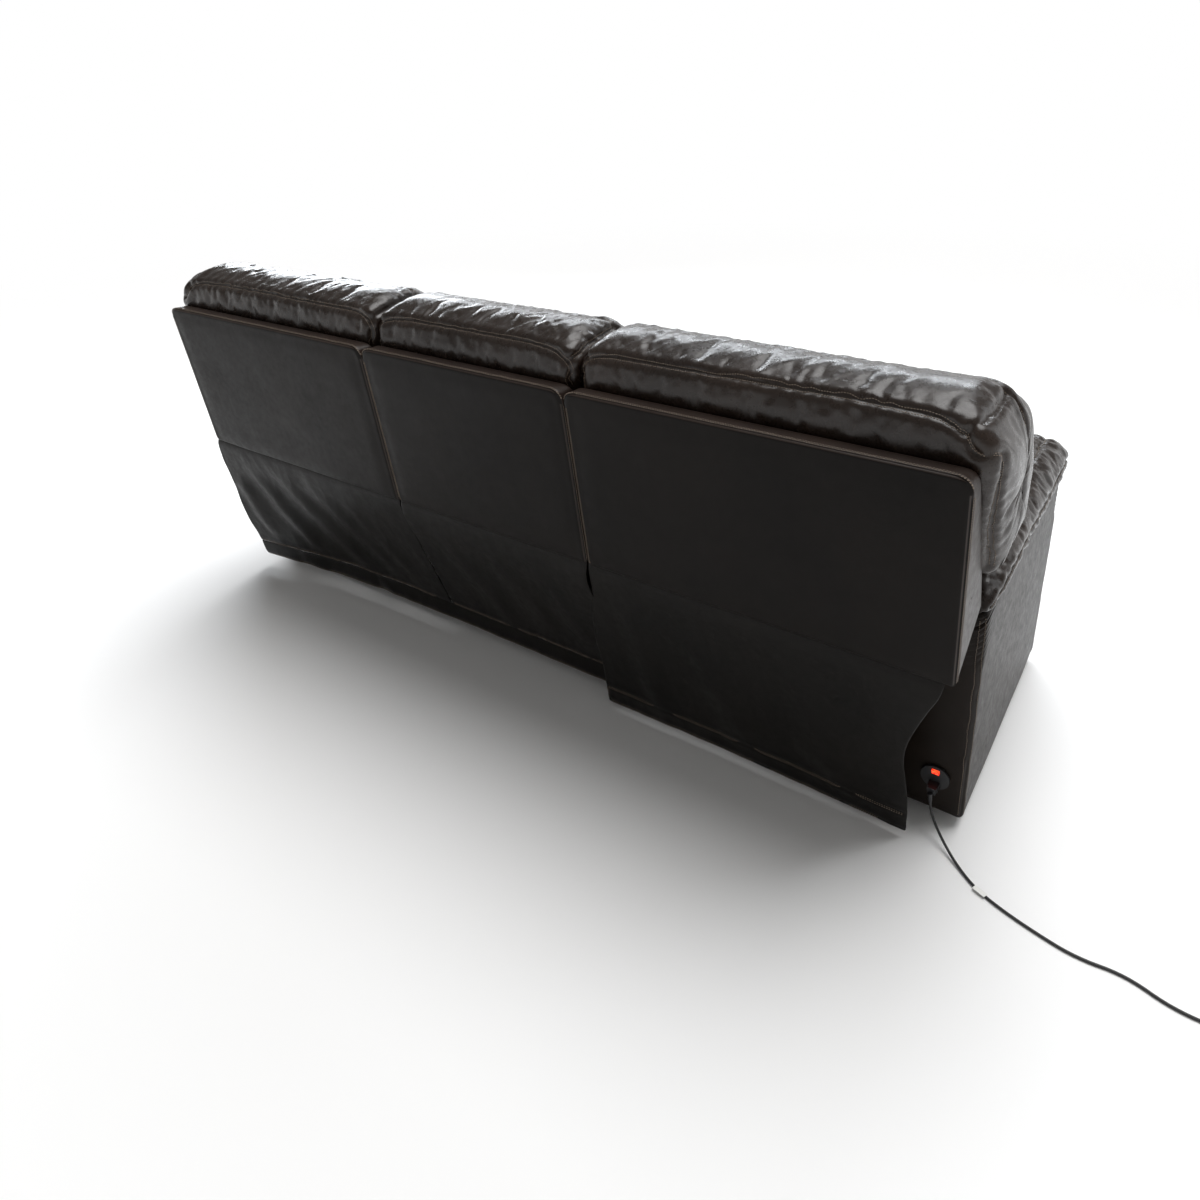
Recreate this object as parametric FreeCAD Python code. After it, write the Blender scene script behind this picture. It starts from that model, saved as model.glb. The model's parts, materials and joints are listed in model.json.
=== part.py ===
import FreeCAD, Part
import math
import os

# Reclining sofa. Millimetres, floor at z = 0, front towards -Y, the sitter's left towards +X.
# One end seat is built on the +X side and mirrored for the -X side.

os.makedirs("parts", exist_ok=True)
V = FreeCAD.Vector

# Driving dimensions
half_depth = 480.0            # front of the footrest pad to the top of the rear panel
arm_outer = 1088.0
arm_inner = 880.0
seat_inner = 300.0            # end seat, side next to the middle seat
seat_outer = 868.0
middle_half = 290.0
panel_inner = 296.5           # end back, side next to the middle back
panel_outer = 1079.0
panel_middle_half = 293.5
panel_top = 910.0
panel_bottom = 480.0
panel_bottom_y = 419.0
deck_bottom, deck_top = 300.0, 345.0
seat_top = 488.0
pivot_y, pivot_z = 230.0, 430.0        # reclining hinge of each end back
link_a_y, link_z = -300.0, 255.0       # footrest linkage, first pivot
link_lower_length = 150.0
link_upper_length = 265.0
pin_r, bore_r = 6.0, 6.05
plate = 6.0                            # steel plate of the mechanism
cord_r = 2.8
cord_z = 3.0                           # height of the cord's axis where it lies on the floor


def box(x0, x1, y0, y1, z0, z1):
    return Part.makeBox(x1 - x0, y1 - y0, z1 - z0, V(x0, y0, z0))


def rod(start, end, radius):
    along = end - start
    return Part.makeCylinder(radius, along.Length, start, along)


def prism_x(points_yz, x0, x1):
    outline = Part.makePolygon([V(x0, y, z) for y, z in points_yz + points_yz[:1]])
    return Part.Face(outline).extrude(V(x1 - x0, 0, 0))


def edge(start, end, outward, bulge):
    if abs(bulge) < 0.05:
        return Part.LineSegment(start, end).toShape()
    return Part.Arc(start, (start + end) * 0.5 + outward * bulge, end).toShape()


def section_x(x, points_yz, bulges, scale=1.0):
    """Closed outline across X; each side bulges outwards by its own height."""
    cy = sum(p[0] for p in points_yz) / len(points_yz)
    cz = sum(p[1] for p in points_yz) / len(points_yz)
    corners = [V(x, cy + (y - cy) * scale, cz + (z - cz) * scale) for y, z in points_yz]
    sides = []
    for i, start in enumerate(corners):
        end = corners[(i + 1) % len(corners)]
        outward = V(0, end.z - start.z, start.y - end.y)
        outward.normalize()
        sides.append(edge(start, end, outward, bulges[i]))
    return Part.Wire(sides)


def pillow_x(points_yz, bulges, stations):
    """Padded form: stations are (x, scale of the outline, share of the crown)."""
    wires = [section_x(x, points_yz, [b * crown for b in bulges], scale)
             for x, scale, crown in stations]
    return Part.makeLoft(wires, True, False)


def mirrored(shape):
    return shape.mirror(V(0, 0, 0), V(1, 0, 0))


def save(name, shape):
    if shape.Volume < 0:
        shape = shape.reversed()
    valid = shape.isValid()
    b = shape.optimalBoundingBox(True, False)
    print("%-26s solids %2d valid %s  x %7.1f %7.1f  y %7.1f %7.1f  z %7.1f %7.1f" % (
        name, len(shape.Solids), valid, b.XMin, b.XMax, b.YMin, b.YMax, b.ZMin, b.ZMax))
    shape.exportStep("parts/%s.step" % name)


def save_pair(name, shape):
    save("left_" + name, shape)
    save("right_" + name, mirrored(shape))


# Arms: plywood box, leather cover drawn over it, puffy pad on top
def arm_section(z, shrink, crown):
    rear = 227.0 + 36.0 * (z - 25.0) / 531.0
    x0, x1 = arm_inner + shrink, arm_outer - shrink
    y0, y1 = -458.0 + shrink, rear - shrink
    corners = [V(x0, y0, z), V(x1, y0, z), V(x1, y1, z), V(x0, y1, z)]
    outwards = [V(0, -1, 0), V(1, 0, 0), V(0, 1, 0), V(-1, 0, 0)]
    sides = [edge(corners[i], corners[(i + 1) % 4], outwards[i], crown[i]) for i in range(4)]
    return Part.Wire(sides)


frame_box = (arm_inner + 20, arm_outer - 20, -430.0, 200.0, 25.0, 515.0)
board = 18.0
arm_frame = box(*frame_box).cut(box(frame_box[0] + board, frame_box[1] - board, frame_box[2] + board,
                                    frame_box[3] - board, frame_box[4] + board, frame_box[5] - board))
arm_top = 541.0
arm_cover = Part.makeLoft([arm_section(25.0, 3.0, (1, 1, 0, 0.5)), arm_section(60.0, 0.0, (4, 3, 1, 1)),
                           arm_section(300.0, 0.0, (6, 5, 1, 1)), arm_section(500.0, 0.0, (5, 4, 1, 1)),
                           arm_section(arm_top, 2.0, (2, 2, 0, 0.5))], True, False)
arm_cover = arm_cover.cut(box(*frame_box))

pod_y, pod_z = -320.0, 518.0
pod_box = (arm_inner - 4, arm_inner + 18, pod_y - 46, pod_y + 46, pod_z - 18, pod_z + 18)
arm_cover = arm_cover.cut(box(*pod_box))


def pad_section(y, z_top, crown):
    x0, x1 = arm_inner + 2, arm_outer - 1
    low = arm_top + 0.5
    rise = z_top - low
    corners = [V(x0, y, low), V(x1, y, low), V(x1 + 12 * crown, y, low + rise * 0.62), V(x0, y, low + rise * 0.62)]
    sides = [edge(corners[0], corners[1], V(0, 0, -1), 0),
             edge(corners[1], corners[2], V(1, 0, 0), 9 * crown),
             edge(corners[2], corners[3], V(0, 0, 1), rise * 0.38),
             edge(corners[3], corners[0], V(-1, 0, 0), 3 * crown)]
    return Part.Wire(sides)


pad_stations = [(-464.0, 604.0, 0.2), (-405.0, 642.0, 0.9), (-180.0, 650.0, 1.0), (50.0, 647.0, 1.0),
                (170.0, 618.0, 0.9), (258.0, 566.0, 0.4)]
arm_pad = Part.makeLoft([pad_section(*station) for station in pad_stations], True, False)
save_pair("arm_pad", arm_pad)

# Control pod on the inner side of each arm, with two push buttons
button_r, button_gap = 8.0, 0.3
button_ys = (pod_y - 22.0, pod_y + 22.0)
pod = box(*pod_box)
for y in button_ys:
    well = rod(V(arm_inner - 5, y, pod_z), V(arm_inner + 10, y, pod_z), button_r + button_gap)
    pod = pod.cut(well)
save_pair("control_pod", pod)
for word, y in zip(("front", "rear"), button_ys):
    cap = rod(V(arm_inner - 7, y, pod_z), V(arm_inner + 6, y, pod_z), button_r)
    cap = cap.makeFillet(1.0, [e for e in cap.Edges if abs(e.BoundBox.XMax - (arm_inner - 7)) < 0.1])
    save_pair(word + "_button", cap)

# Steel base under each end seat: side plates with guide flanges and hinge ears, and cross rails
plate_xs = (308.0, 854.0)
flange_depth = 24.0
ear = [(-335.0, 40.0), (255.0, 40.0), (255.0, 430.0), (205.0, 430.0), (188.0, 286.0), (-335.0, 286.0)]
base = None
for x, inward in zip(plate_xs, (1, -1)):
    side = prism_x(ear, x, x + plate)
    side = side.fuse(rod(V(x, pivot_y, pivot_z), V(x + plate, pivot_y, pivot_z), 25.0))
    if inward > 0:
        flange = box(x, x + flange_depth, -335.0, 40.0, 285.0, 299.5)
        pin = rod(V(x, pivot_y, pivot_z), V(x + 19.0, pivot_y, pivot_z), pin_r)
    else:
        flange = box(x + plate - flange_depth, x + plate, -335.0, 40.0, 285.0, 299.5)
        pin = rod(V(x + plate, pivot_y, pivot_z), V(x - 13.0, pivot_y, pivot_z), pin_r)
    side = side.fuse(flange).fuse(pin)
    base = side if base is None else base.fuse(side)
cross_rails = ((-315.0, -285.0, 44.0, 68.0), (-110.0, -80.0, 86.0, 110.0), (185.0, 215.0, 66.0, 90.0))
for y0, y1, z0, z1 in cross_rails:
    base = base.fuse(box(middle_half, arm_inner - 4, y0, y1, z0, z1))

# Actuator: motor and rail fixed on the cross rails, a carriage that slides forwards as the back reclines
seat_centre = 584.0
rail_z = 118.0
motor_y0, motor_y1 = 112.0, 215.0
motor_r = 30.0
motor_z = 122.0
actuator = box(seat_centre - 9, seat_centre + 9, -120.0, motor_y0, rail_z, rail_z + 20)
actuator = actuator.fuse(rod(V(seat_centre, motor_y0, motor_z), V(seat_centre, motor_y1, motor_z), motor_r))
actuator = actuator.fuse(box(seat_centre - 20, seat_centre + 20, -105.0, -85.0, 110.0, rail_z + 1))
actuator = actuator.fuse(box(seat_centre - 20, seat_centre + 20, 190.0, 210.0, 90.0, rail_z - 10))
save_pair("actuator", actuator)
slack = 0.6
carriage_y0, carriage_y1 = -15.0, 35.0
carriage = box(seat_centre - 20, seat_centre + 20, carriage_y0, carriage_y1, rail_z + 2, rail_z + 36)
carriage = carriage.cut(box(seat_centre - 9 - slack, seat_centre + 9 + slack, carriage_y0 - 1,
                            carriage_y1 + 1, rail_z - 1, rail_z + 20 + slack))
save_pair("carriage", carriage)

# Wiring conduit from the supply in the right arm to both motors
conduit_y, conduit_z, conduit_r = 135.0, 72.0, 6.0
conduit = rod(V(-990.0, conduit_y, conduit_z), V(seat_centre + 6, conduit_y, conduit_z), conduit_r)
for x in (-seat_centre, seat_centre):
    conduit = conduit.fuse(rod(V(x, conduit_y, conduit_z), V(x, conduit_y, motor_z), 5.0))
conduit = conduit.cut(mirrored(actuator)).cut(actuator)
save("wiring_conduit", conduit)
conduit_hole = rod(V(-1000.0, conduit_y, conduit_z), V(1000.0, conduit_y, conduit_z), conduit_r + 0.4)
save("left_base_frame", base.cut(conduit_hole))
save("right_base_frame", mirrored(base).cut(conduit_hole))

# Seat of each end place: deck with two hinge plates for the footrest, and the cushion
link_mirror = 2 * seat_centre
hanger_x = 336.0
hanger = prism_x([(-345.0, deck_bottom), (-345.0, 250.0), (-320.0, 234.0), (-280.0, 234.0),
                  (-235.0, 270.0), (-200.0, deck_bottom)], hanger_x, hanger_x + plate)
hanger = hanger.fuse(rod(V(hanger_x, link_a_y, link_z), V(hanger_x + plate + 9, link_a_y, link_z), pin_r))


def opposite(shape):
    """The same piece on the other side of the seat's centre."""
    return shape.mirror(V(seat_centre, 0, 0), V(1, 0, 0))


deck = box(seat_inner + 2, seat_outer - 2, -400.0, 60.0, deck_bottom, deck_top)
deck = deck.fuse(hanger).fuse(opposite(hanger))
save_pair("seat_deck", deck)

seat_outline = [(-452.0, 346.0), (-466.0, 400.0), (-430.0, seat_top), (60.0, seat_top), (72.0, 430.0), (66.0, 346.0)]
seat_crown = [3.0, 9.0, 19.0, 2.0, 2.0, 0.0]


def seat_pillow(x0, x1):
    edge_in = 34.0
    middle = (x0 + x1) / 2
    stations = [(x0, 0.955, 0.25), (x0 + edge_in, 0.99, 0.75), (middle, 1.0, 1.0),
                (x1 - edge_in, 0.99, 0.75), (x1, 0.955, 0.25)]
    form = pillow_x(seat_outline, seat_crown, stations)
    return form.cut(box(x0 - 5, x1 + 5, -half_depth, half_depth, 0, deck_top))


save_pair("seat_cushion", seat_pillow(seat_inner, seat_outer))
save("middle_seat_cushion", seat_pillow(-middle_half, middle_half))

# Footrest linkage: two links each side joined by a cross tube, then the padded board
link_half = 14.0
link_b_y = link_a_y + link_lower_length
link_c_y = link_b_y - link_upper_length
lower_x = 344.0
upper_x = 352.0


def bar(x, y0, y1):
    shape = box(x, x + plate, y0, y1, link_z - link_half, link_z + link_half)
    for y in (y0, y1):
        shape = shape.fuse(rod(V(x, y, link_z), V(x + plate, y, link_z), link_half))
    return shape


tube_r = 8.0
lower = bar(lower_x, link_a_y, link_b_y)
lower = lower.cut(rod(V(lower_x - 1, link_a_y, link_z), V(lower_x + plate + 1, link_a_y, link_z), bore_r))
lower = lower.fuse(opposite(lower)).fuse(rod(V(lower_x + 1, link_b_y, link_z),
                                             V(link_mirror - lower_x - 1, link_b_y, link_z), tube_r))
save_pair("link_lower", lower)

upper = bar(upper_x, link_c_y, link_b_y)
upper = upper.cut(rod(V(upper_x - 1, link_b_y, link_z), V(upper_x + plate + 1, link_b_y, link_z), tube_r + 0.05))
upper = upper.cut(rod(V(upper_x - 1, link_c_y, link_z), V(upper_x + plate + 1, link_c_y, link_z), bore_r))
save_pair("link_upper", upper.fuse(opposite(upper)))

board_y0, board_y1 = -448.0, -430.0
board_z0, board_z1 = 108.0, 330.0
ear_piece = box(lower_x, lower_x + plate, board_y1 - 1, link_c_y, link_z - link_half, link_z + link_half)
ear_piece = ear_piece.fuse(rod(V(lower_x, link_c_y, link_z), V(lower_x + plate, link_c_y, link_z), link_half - 1))
ear_piece = ear_piece.fuse(rod(V(lower_x, link_c_y, link_z), V(upper_x + plate + 1, link_c_y, link_z), pin_r))
footboard = box(seat_inner + 6, seat_outer - 6, board_y0, board_y1, board_z0, board_z1)
save_pair("footrest_board", footboard.fuse(ear_piece).fuse(opposite(ear_piece)))

front_bulge = 8.0
front_face = -half_depth + front_bulge + 3.25
front_outline = [(board_y0, board_z1 + 6), (front_face, board_z1 + 2), (front_face, board_z0 - 2),
                 (board_y0, board_z0 - 4)]
front_crown = [2.0, front_bulge, 2.0, 0.0]


def front_pillow(x0, x1):
    stations = [(x0, 0.94, 0.3), (x0 + 26, 0.99, 0.8), ((x0 + x1) / 2, 1.0, 1.0), (x1 - 26, 0.99, 0.8), (x1, 0.94, 0.3)]
    form = pillow_x(front_outline, front_crown, stations)
    return form.cut(box(x0 - 5, x1 + 5, board_y0, board_y0 + 20, board_z0 - 20, board_z1 + 20))


save_pair("footrest_pad", front_pillow(seat_inner, seat_outer))
save("middle_front_panel", front_pillow(-middle_half, middle_half))

# Backs: a wedge of leather panel round a board, and a tall cushion in front of it
wedge_top_front = (437.0, 908.0)
wedge_mid_front = (345.0, 729.0)
wedge_low_front = (284.0, 577.0)
wedge = [(panel_bottom_y, panel_bottom), (half_depth, panel_top), wedge_top_front, wedge_mid_front, wedge_low_front]
board_outline = [(405.5, 489.5), (463.5, 895.0), (430.3, 895.0), wedge_mid_front, wedge_low_front]
hollow_outline = [(386.0, 522.0), (435.0, 860.0), (366.0, 728.0), (313.0, 590.0)]
panel_side = 12.0


def back_pair(x0, x1):
    outer = prism_x(wedge, x0, x1)
    core = prism_x(board_outline, x0 + panel_side, x1 - panel_side)
    hollow = prism_x(hollow_outline, x0 + panel_side + 18, x1 - panel_side - 18)
    return outer.cut(core), core.cut(hollow)


end_panel, end_board = back_pair(panel_inner, panel_outer)
save_pair("back_panel", end_panel)
save_pair("back_board", end_board)
middle_panel, middle_board = back_pair(-panel_middle_half, panel_middle_half)
save("middle_back_panel", middle_panel)
save("middle_back_board", middle_board)

bracket_outline = [(pivot_y - 22, pivot_z - 22), (pivot_y + 24, pivot_z - 22), (398.0, 480.0), (404.0, 490.5),
                   (288.0, 573.5), (290.0, 486.0), (pivot_y - 22, pivot_z + 22)]
bracket_x = 318.0
bracket = prism_x(bracket_outline, bracket_x, bracket_x + 8)
bracket = bracket.cut(rod(V(bracket_x - 1, pivot_y, pivot_z), V(bracket_x + 9, pivot_y, pivot_z), bore_r))
save_pair("back_bracket", bracket.fuse(opposite(bracket)))

# Back cushion: lumbar and head bolsters with a drawn-in channel between, crowned over the top
cushion_outline = [(84.0, 492.0), (282.0, 492.0), (282.0, 578.0), (343.5, 730.0), (434.5, 905.0), (392.0, 972.0),
                   (215.0, 962.0), (128.0, 705.0)]
cushion_bulge = [0.0, 0.0, 0.0, 0.0, 4.0, 34.0, 32.0, 22.0]


def back_pillow(x0, x1):
    stations = [(x0, 0.965, 0.4), (x0 + 30, 0.995, 0.85), ((x0 + x1) / 2, 1.0, 1.0),
                (x1 - 30, 0.995, 0.85), (x1, 0.965, 0.4)]
    return pillow_x(cushion_outline, cushion_bulge, stations)


wing_outline = [(150.0, 668.0), (308.0, 644.0), (343.5, 730.0), (434.5, 905.0), (392.0, 972.0), (215.0, 962.0),
                (150.0, 770.0)]
wing_bulge = [6.0, 0.0, 0.0, 4.0, 34.0, 26.0, 10.0]
wing_stations = [(seat_outer - 30, 0.995, 0.85), (970.0, 0.995, 0.9), (1062.0, 0.975, 0.7), (1108.0, 0.78, 0.3)]
end_cushion = back_pillow(seat_inner, seat_outer).fuse(pillow_x(wing_outline, wing_bulge, wing_stations))
front_skin = 0.5              # the cushion stays this far in front of the wedge
wedge_space = prism_x(wedge, -panel_outer - 40, panel_outer + 40)
wedge_space = wedge_space.fuse(wedge_space.translated(V(0, -front_skin, 0)))
save_pair("back_cushion", end_cushion.cut(wedge_space))

# Middle seat box: plywood body closed below, carrying the middle back
middle_outline = [(-446.0, 100.0), (250.0, 100.0), (386.0, 462.0), (404.0, 490.5), (284.0, 577.0), (281.0, 488.0),
                  (78.0, 488.0), (78.0, 344.5), (-446.0, 344.5)]
middle_void = [(-428.0, 118.0), (238.0, 118.0), (352.0, 430.0), (316.0, 470.0), (96.0, 470.0), (96.0, 326.0),
               (-428.0, 326.0)]
middle_box = prism_x(middle_outline, -middle_half, middle_half)
middle_box = middle_box.cut(prism_x(middle_void, -middle_half + board, middle_half - board))
save("middle_seat_box", middle_box)
middle_cushion = back_pillow(-middle_half, middle_half).cut(wedge_space)
middle_space = prism_x(middle_outline, -middle_half - 5, middle_half + 5)
save("middle_back_cushion", middle_cushion.cut(middle_space))

# Feet: short discs under the arms, taller ones under the middle seat
foot_r = 22.0
feet = []
for x, y, top in ((984.0, -400.0, 25.0), (984.0, 170.0, 25.0), (240.0, -400.0, 100.0), (240.0, 200.0, 100.0)):
    for side in (-1, 1):
        feet.append(rod(V(side * x, y, 0), V(side * x, y, top), foot_r))
save("feet", Part.makeCompound(feet))


# Loose leather below the backs, hung from the panel seam to a hem
def sheet(rows, thickness=3.0):
    """Hanging sheet: rows are (z, [(x, y), ...], [fold depth of each stretch])."""
    wires = []
    for z, points, folds in rows:
        rear, front = [], []
        for i in range(len(points) - 1):
            a, b = V(points[i][0], points[i][1], z), V(points[i + 1][0], points[i + 1][1], z)
            shift = V(0, -thickness, 0)
            rear.append(edge(a, b, V(0, 1, 0), folds[i]))
            front.insert(0, edge(b + shift, a + shift, V(0, 1, 0), folds[i]))
        first, last = V(points[0][0], points[0][1], z), V(points[-1][0], points[-1][1], z)
        close_right = Part.LineSegment(last, last + V(0, -thickness, 0)).toShape()
        close_left = Part.LineSegment(first + V(0, -thickness, 0), first).toShape()
        wires.append(Part.Wire(rear + [close_right] + front + [close_left]))
    return Part.makeLoft(wires, True, False)


seam_z = panel_bottom - 1.0
hem_line, hem_bottom = 98.0, 42.0
middle_rows = [(seam_z, [(-293, 418), (0, 418), (293, 418)], [0, 0]),
               (330.0, [(-262, 364), (0, 362), (293, 364)], [6, -5]),
               (180.0, [(-250, 304), (20, 302), (293, 305)], [8, 6]),
               (hem_line + 0.3, [(-251, 273), (20, 273), (293, 273)], [5, 4])]
save("middle_back_flap", sheet(middle_rows))
left_rows = [(seam_z, [(295, 418), (690, 418), (1084, 418)], [0, 0]),
             (340.0, [(295, 367), (690, 372), (1085, 393)], [-6, 8]),
             (200.0, [(295, 313), (690, 322), (1085, 366)], [-8, 12]),
             (hem_line + 0.3, [(295, 274), (690, 284), (1085, 334)], [-5, 6])]
save("left_back_flap", sheet(left_rows))
hem_rows = [(hem_line, [(-251, 273), (295, 274), (690, 284), (1085, 334)], [4, -4, 6]),
            (hem_bottom, [(-249, 268), (295, 269), (690, 278), (1085, 319)], [5, -5, 7])]
save("rear_hem", sheet(hem_rows, 4.0))
right_rows = [(seam_z, [(-1062, 418), (-680, 418), (-296, 418)], [0, 0]),
              (399.0, [(-1035, 400), (-660, 394), (-285, 393)], [-4, 5]),
              (258.0, [(-994, 362), (-640, 356), (-258, 353)], [-6, 7]),
              (115.0, [(-1002, 330), (-640, 322), (-258, 319)], [6, -7]),
              (18.0, [(-1000, 309), (-640, 300), (-256, 300)], [8, -6])]
save("right_back_flap", sheet(right_rows))

# Power inlet on the leaning rear face of the right arm
inlet_x, inlet_z = -1029.0, 120.0
lean = math.degrees(math.atan2(36.0, 531.0))
inlet_y = 230.5 + 36.0 * (inlet_z - 25.0) / 531.0
plate_r, plate_t = 29.0, 4.0
socket_half_x, socket_z0, socket_z1 = 11.5, -25.0, -10.0


def place(shape):
    shape.rotate(V(0, 0, 0), V(1, 0, 0), -lean)
    shape.translate(V(inlet_x, inlet_y, inlet_z))
    return shape


rocker_z0, rocker_z1, rocker_half_x = 8.0, 22.0, 8.0
rocker_mid = (rocker_z0 + rocker_z1) / 2
rocker_pivot_y = 3.0


def rocker_pin(reach, radius):
    return rod(V(-reach, rocker_pivot_y, rocker_mid), V(reach, rocker_pivot_y, rocker_mid), radius)


housing_depth = 34.0
plate_disc = Part.makeCylinder(plate_r, plate_t, V(0, 0, 0), V(0, 1, 0))
plate_disc = plate_disc.cut(box(-rocker_half_x, rocker_half_x, -1, plate_t + 1, rocker_z0, rocker_z1))
plate_disc = plate_disc.cut(box(-socket_half_x, socket_half_x, -1, plate_t + 1, socket_z0, socket_z1))
plate_disc = plate_disc.cut(rocker_pin(rocker_half_x + 1.0, 1.05))
save("inlet_plate", place(plate_disc))
housing_room = box(-16, 16, -housing_depth, 0, -28, 26)
housing = housing_room.cut(box(-socket_half_x, socket_half_x, -16, 1, socket_z0, socket_z1))
housing = housing.cut(box(-rocker_half_x, rocker_half_x, -9, 1, rocker_z0, rocker_z1))
save("inlet_socket", place(housing))
rocker_gap = 0.7
rocker_reach = (rocker_z1 - rocker_z0) / 2 - rocker_gap
rocker = prism_x([(3.0, rocker_mid - 2.5), (6.5, rocker_mid + rocker_reach - 0.8), (5.6, rocker_mid + rocker_reach),
                  (-1.5, rocker_mid + rocker_reach - 1.6), (-3.5, rocker_mid), (-1.5, rocker_mid - rocker_reach + 1.6),
                  (3.6, rocker_mid - rocker_reach), (4.0, rocker_mid - rocker_reach + 0.8)],
                 -rocker_half_x + rocker_gap, rocker_half_x - rocker_gap)
save("power_rocker", place(rocker.fuse(rocker_pin(rocker_half_x + 0.8, 1.0))))

# Angled connector in the socket; the cord leaves it downwards
connector = box(-10.5, 10.5, -13.0, 20.0, -24.0, -11.0)
connector = connector.fuse(box(-8.0, 8.0, 8.0, 24.0, -28.0, -11.5))
connector = place(connector)
cord_points = [V(-1030.5, 264.0, 76.0), V(-1035, 267, 50), V(-1066, 287, 16), V(-1107, 324, cord_z),
               V(-1152, 360, cord_z), V(-1205, 381, cord_z), V(-1264, 397, cord_z), V(-1335, 411, cord_z),
               V(-1412, 400, cord_z), V(-1484, 424, cord_z), V(-1558, 420, cord_z), V(-1625, 420, cord_z)]
relief_top = V(-1027.5, 262.0, 95.0)
relief = Part.makeCone(5.2, cord_r + 0.8, (cord_points[0] - relief_top).Length, relief_top,
                       cord_points[0] - relief_top)
save("cord_connector", connector.fuse(relief))

inlet_hole = place(housing_room.copy())
cover_right = mirrored(arm_cover).cut(inlet_hole).cut(conduit_hole)
frame_right = mirrored(arm_frame).cut(inlet_hole).cut(conduit_hole)
save("left_arm_cover", arm_cover)
save("right_arm_cover", cover_right)
save("left_arm_frame", arm_frame)
save("right_arm_frame", frame_right)
supply = box(-1049.0, -990.0, 90.0, 181.0, 43.0, 92.0)
save("power_supply", supply)

# Power cord: straight runs joined by arcs, then a coil put away beside the sofa
def rounded_route(points, share=0.45):
    edges, start = [], points[0]
    for i in range(1, len(points) - 1):
        a, b, c = points[i - 1], points[i], points[i + 1]
        before, after = b - a, c - b
        reach = share * min(before.Length, after.Length)
        before.normalize()
        after.normalize()
        turn = before.getAngle(after)
        radius = reach / math.tan(turn / 2)
        first, last = b - before * reach, b + after * reach
        inward = after - before
        inward.normalize()
        middle = b + inward * (radius / math.cos(turn / 2) - radius)
        edges.append(Part.LineSegment(start, first).toShape())
        edges.append(Part.Arc(first, middle, last).toShape())
        print("bend %2d turn %5.1f radius %6.1f" % (i, math.degrees(turn), radius))
        start = last
    edges.append(Part.LineSegment(start, points[-1]).toShape())
    return Part.Wire(edges)


def tube(wire, radius):
    first = wire.OrderedEdges[0]
    start = first.valueAt(first.FirstParameter)
    heading = first.tangentAt(first.FirstParameter)
    ring = Part.Wire([Part.Circle(start, heading, radius).toShape()])
    return wire.makePipeShell([ring], True, False)


route = rounded_route(cord_points)
save("power_cord", tube(route, cord_r))
print("cord length lying free %.0f" % route.Length)

coil_centre = V(-1625.0, 379.0, cord_z)
coil_pitch = 6.6
coil_outer = 41.0
coil_turns = 6.0
steps_per_turn = 4


def coil_point(turns):
    half = coil_turns / 2
    inwards = min(turns, coil_turns - turns)
    radius = coil_outer - coil_pitch * inwards
    climb = min(max((turns - half) / 0.5 + 0.5, 0.0), 1.0)
    height = coil_pitch * climb * climb * (3 - 2 * climb)
    angle = math.pi / 2 + 2 * math.pi * turns
    return coil_centre + V(radius * math.cos(angle), radius * math.sin(angle), height)


def arc_from(start, heading, end):
    chord = end - start
    side = chord - heading * chord.dot(heading)
    if side.Length < 1e-4:
        return Part.LineSegment(start, end).toShape()
    side.normalize()
    radius = chord.Length ** 2 / (2 * side.dot(chord))
    centre = start + side * radius
    middle = (start - centre) + (end - centre)
    middle.normalize()
    return Part.Arc(start, centre + middle * radius, end).toShape()


def biarc(p0, t0, p1, t1):
    chord, both = p1 - p0, t0 + t1
    spread = 2 * (1 - t0.dot(t1))
    reach = (-chord.dot(both) + math.sqrt(chord.dot(both) ** 2 + spread * chord.dot(chord))) / spread
    joint = (p0 + p1 + (t0 - t1) * reach) * 0.5
    first = arc_from(p0, t0, joint)
    return [first, arc_from(joint, first.tangentAt(first.LastParameter), p1)]


def coil_heading(turns):
    step = 0.01
    ahead = coil_point(min(turns + step, coil_turns)) - coil_point(max(turns - step, 0.0))
    ahead.normalize()
    return ahead


coil_edges = []
count = int(coil_turns * steps_per_turn)
for k in range(count):
    a, b = k / steps_per_turn, (k + 1) / steps_per_turn
    coil_edges += biarc(coil_point(a), coil_heading(a), coil_point(b), coil_heading(b))
coil_end = coil_point(coil_turns)
plug_lead = 36.0
lead_end = coil_end + coil_heading(coil_turns) * plug_lead
coil_edges.append(Part.LineSegment(coil_end, lead_end).toShape())
coil_wire = Part.Wire(coil_edges)
save("power_cord_coil", tube(coil_wire, cord_r))
samples = [coil_point(coil_turns * i / 1200.0) for i in range(1201)]
least = min((samples[i] - samples[j]).Length for i in range(0, 1201, 3) for j in range(i + 100, 1201, 2))
print("coil length %.0f least gap %.2f across %.0f" % (
    coil_wire.Length, least - 2 * cord_r, 2 * (coil_outer - coil_pitch * coil_turns / 4)))

plug_x = lead_end.x
plug = box(plug_x - 34, plug_x, lead_end.y - 12, lead_end.y + 12, 0.0, 19.0)
plug = plug.makeFillet(3.0, [e for e in plug.Edges if abs(e.BoundBox.XLength - 34) < 0.1 and e.BoundBox.ZMin > 5])
for dy in (-6.35, 6.35):
    plug = plug.fuse(box(plug_x - 51, plug_x - 33, lead_end.y + dy - 0.75, lead_end.y + dy + 0.75, 6.5, 12.8))
save("power_plug", plug)

tag_at = V(-1160.0, 363.5, cord_z + cord_r)
tag = box(tag_at.x - 13, tag_at.x + 13, tag_at.y - 5.5, tag_at.y + 5.5, tag_at.z, tag_at.z + 0.8)
tag.rotate(tag_at, V(0, 0, 1), -21.6)
save("cord_tag", tag)
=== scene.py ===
import json
import math
import bpy
import bmesh
import numpy as np
from mathutils import Vector, Matrix
from mathutils.bvhtree import BVHTree


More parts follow.
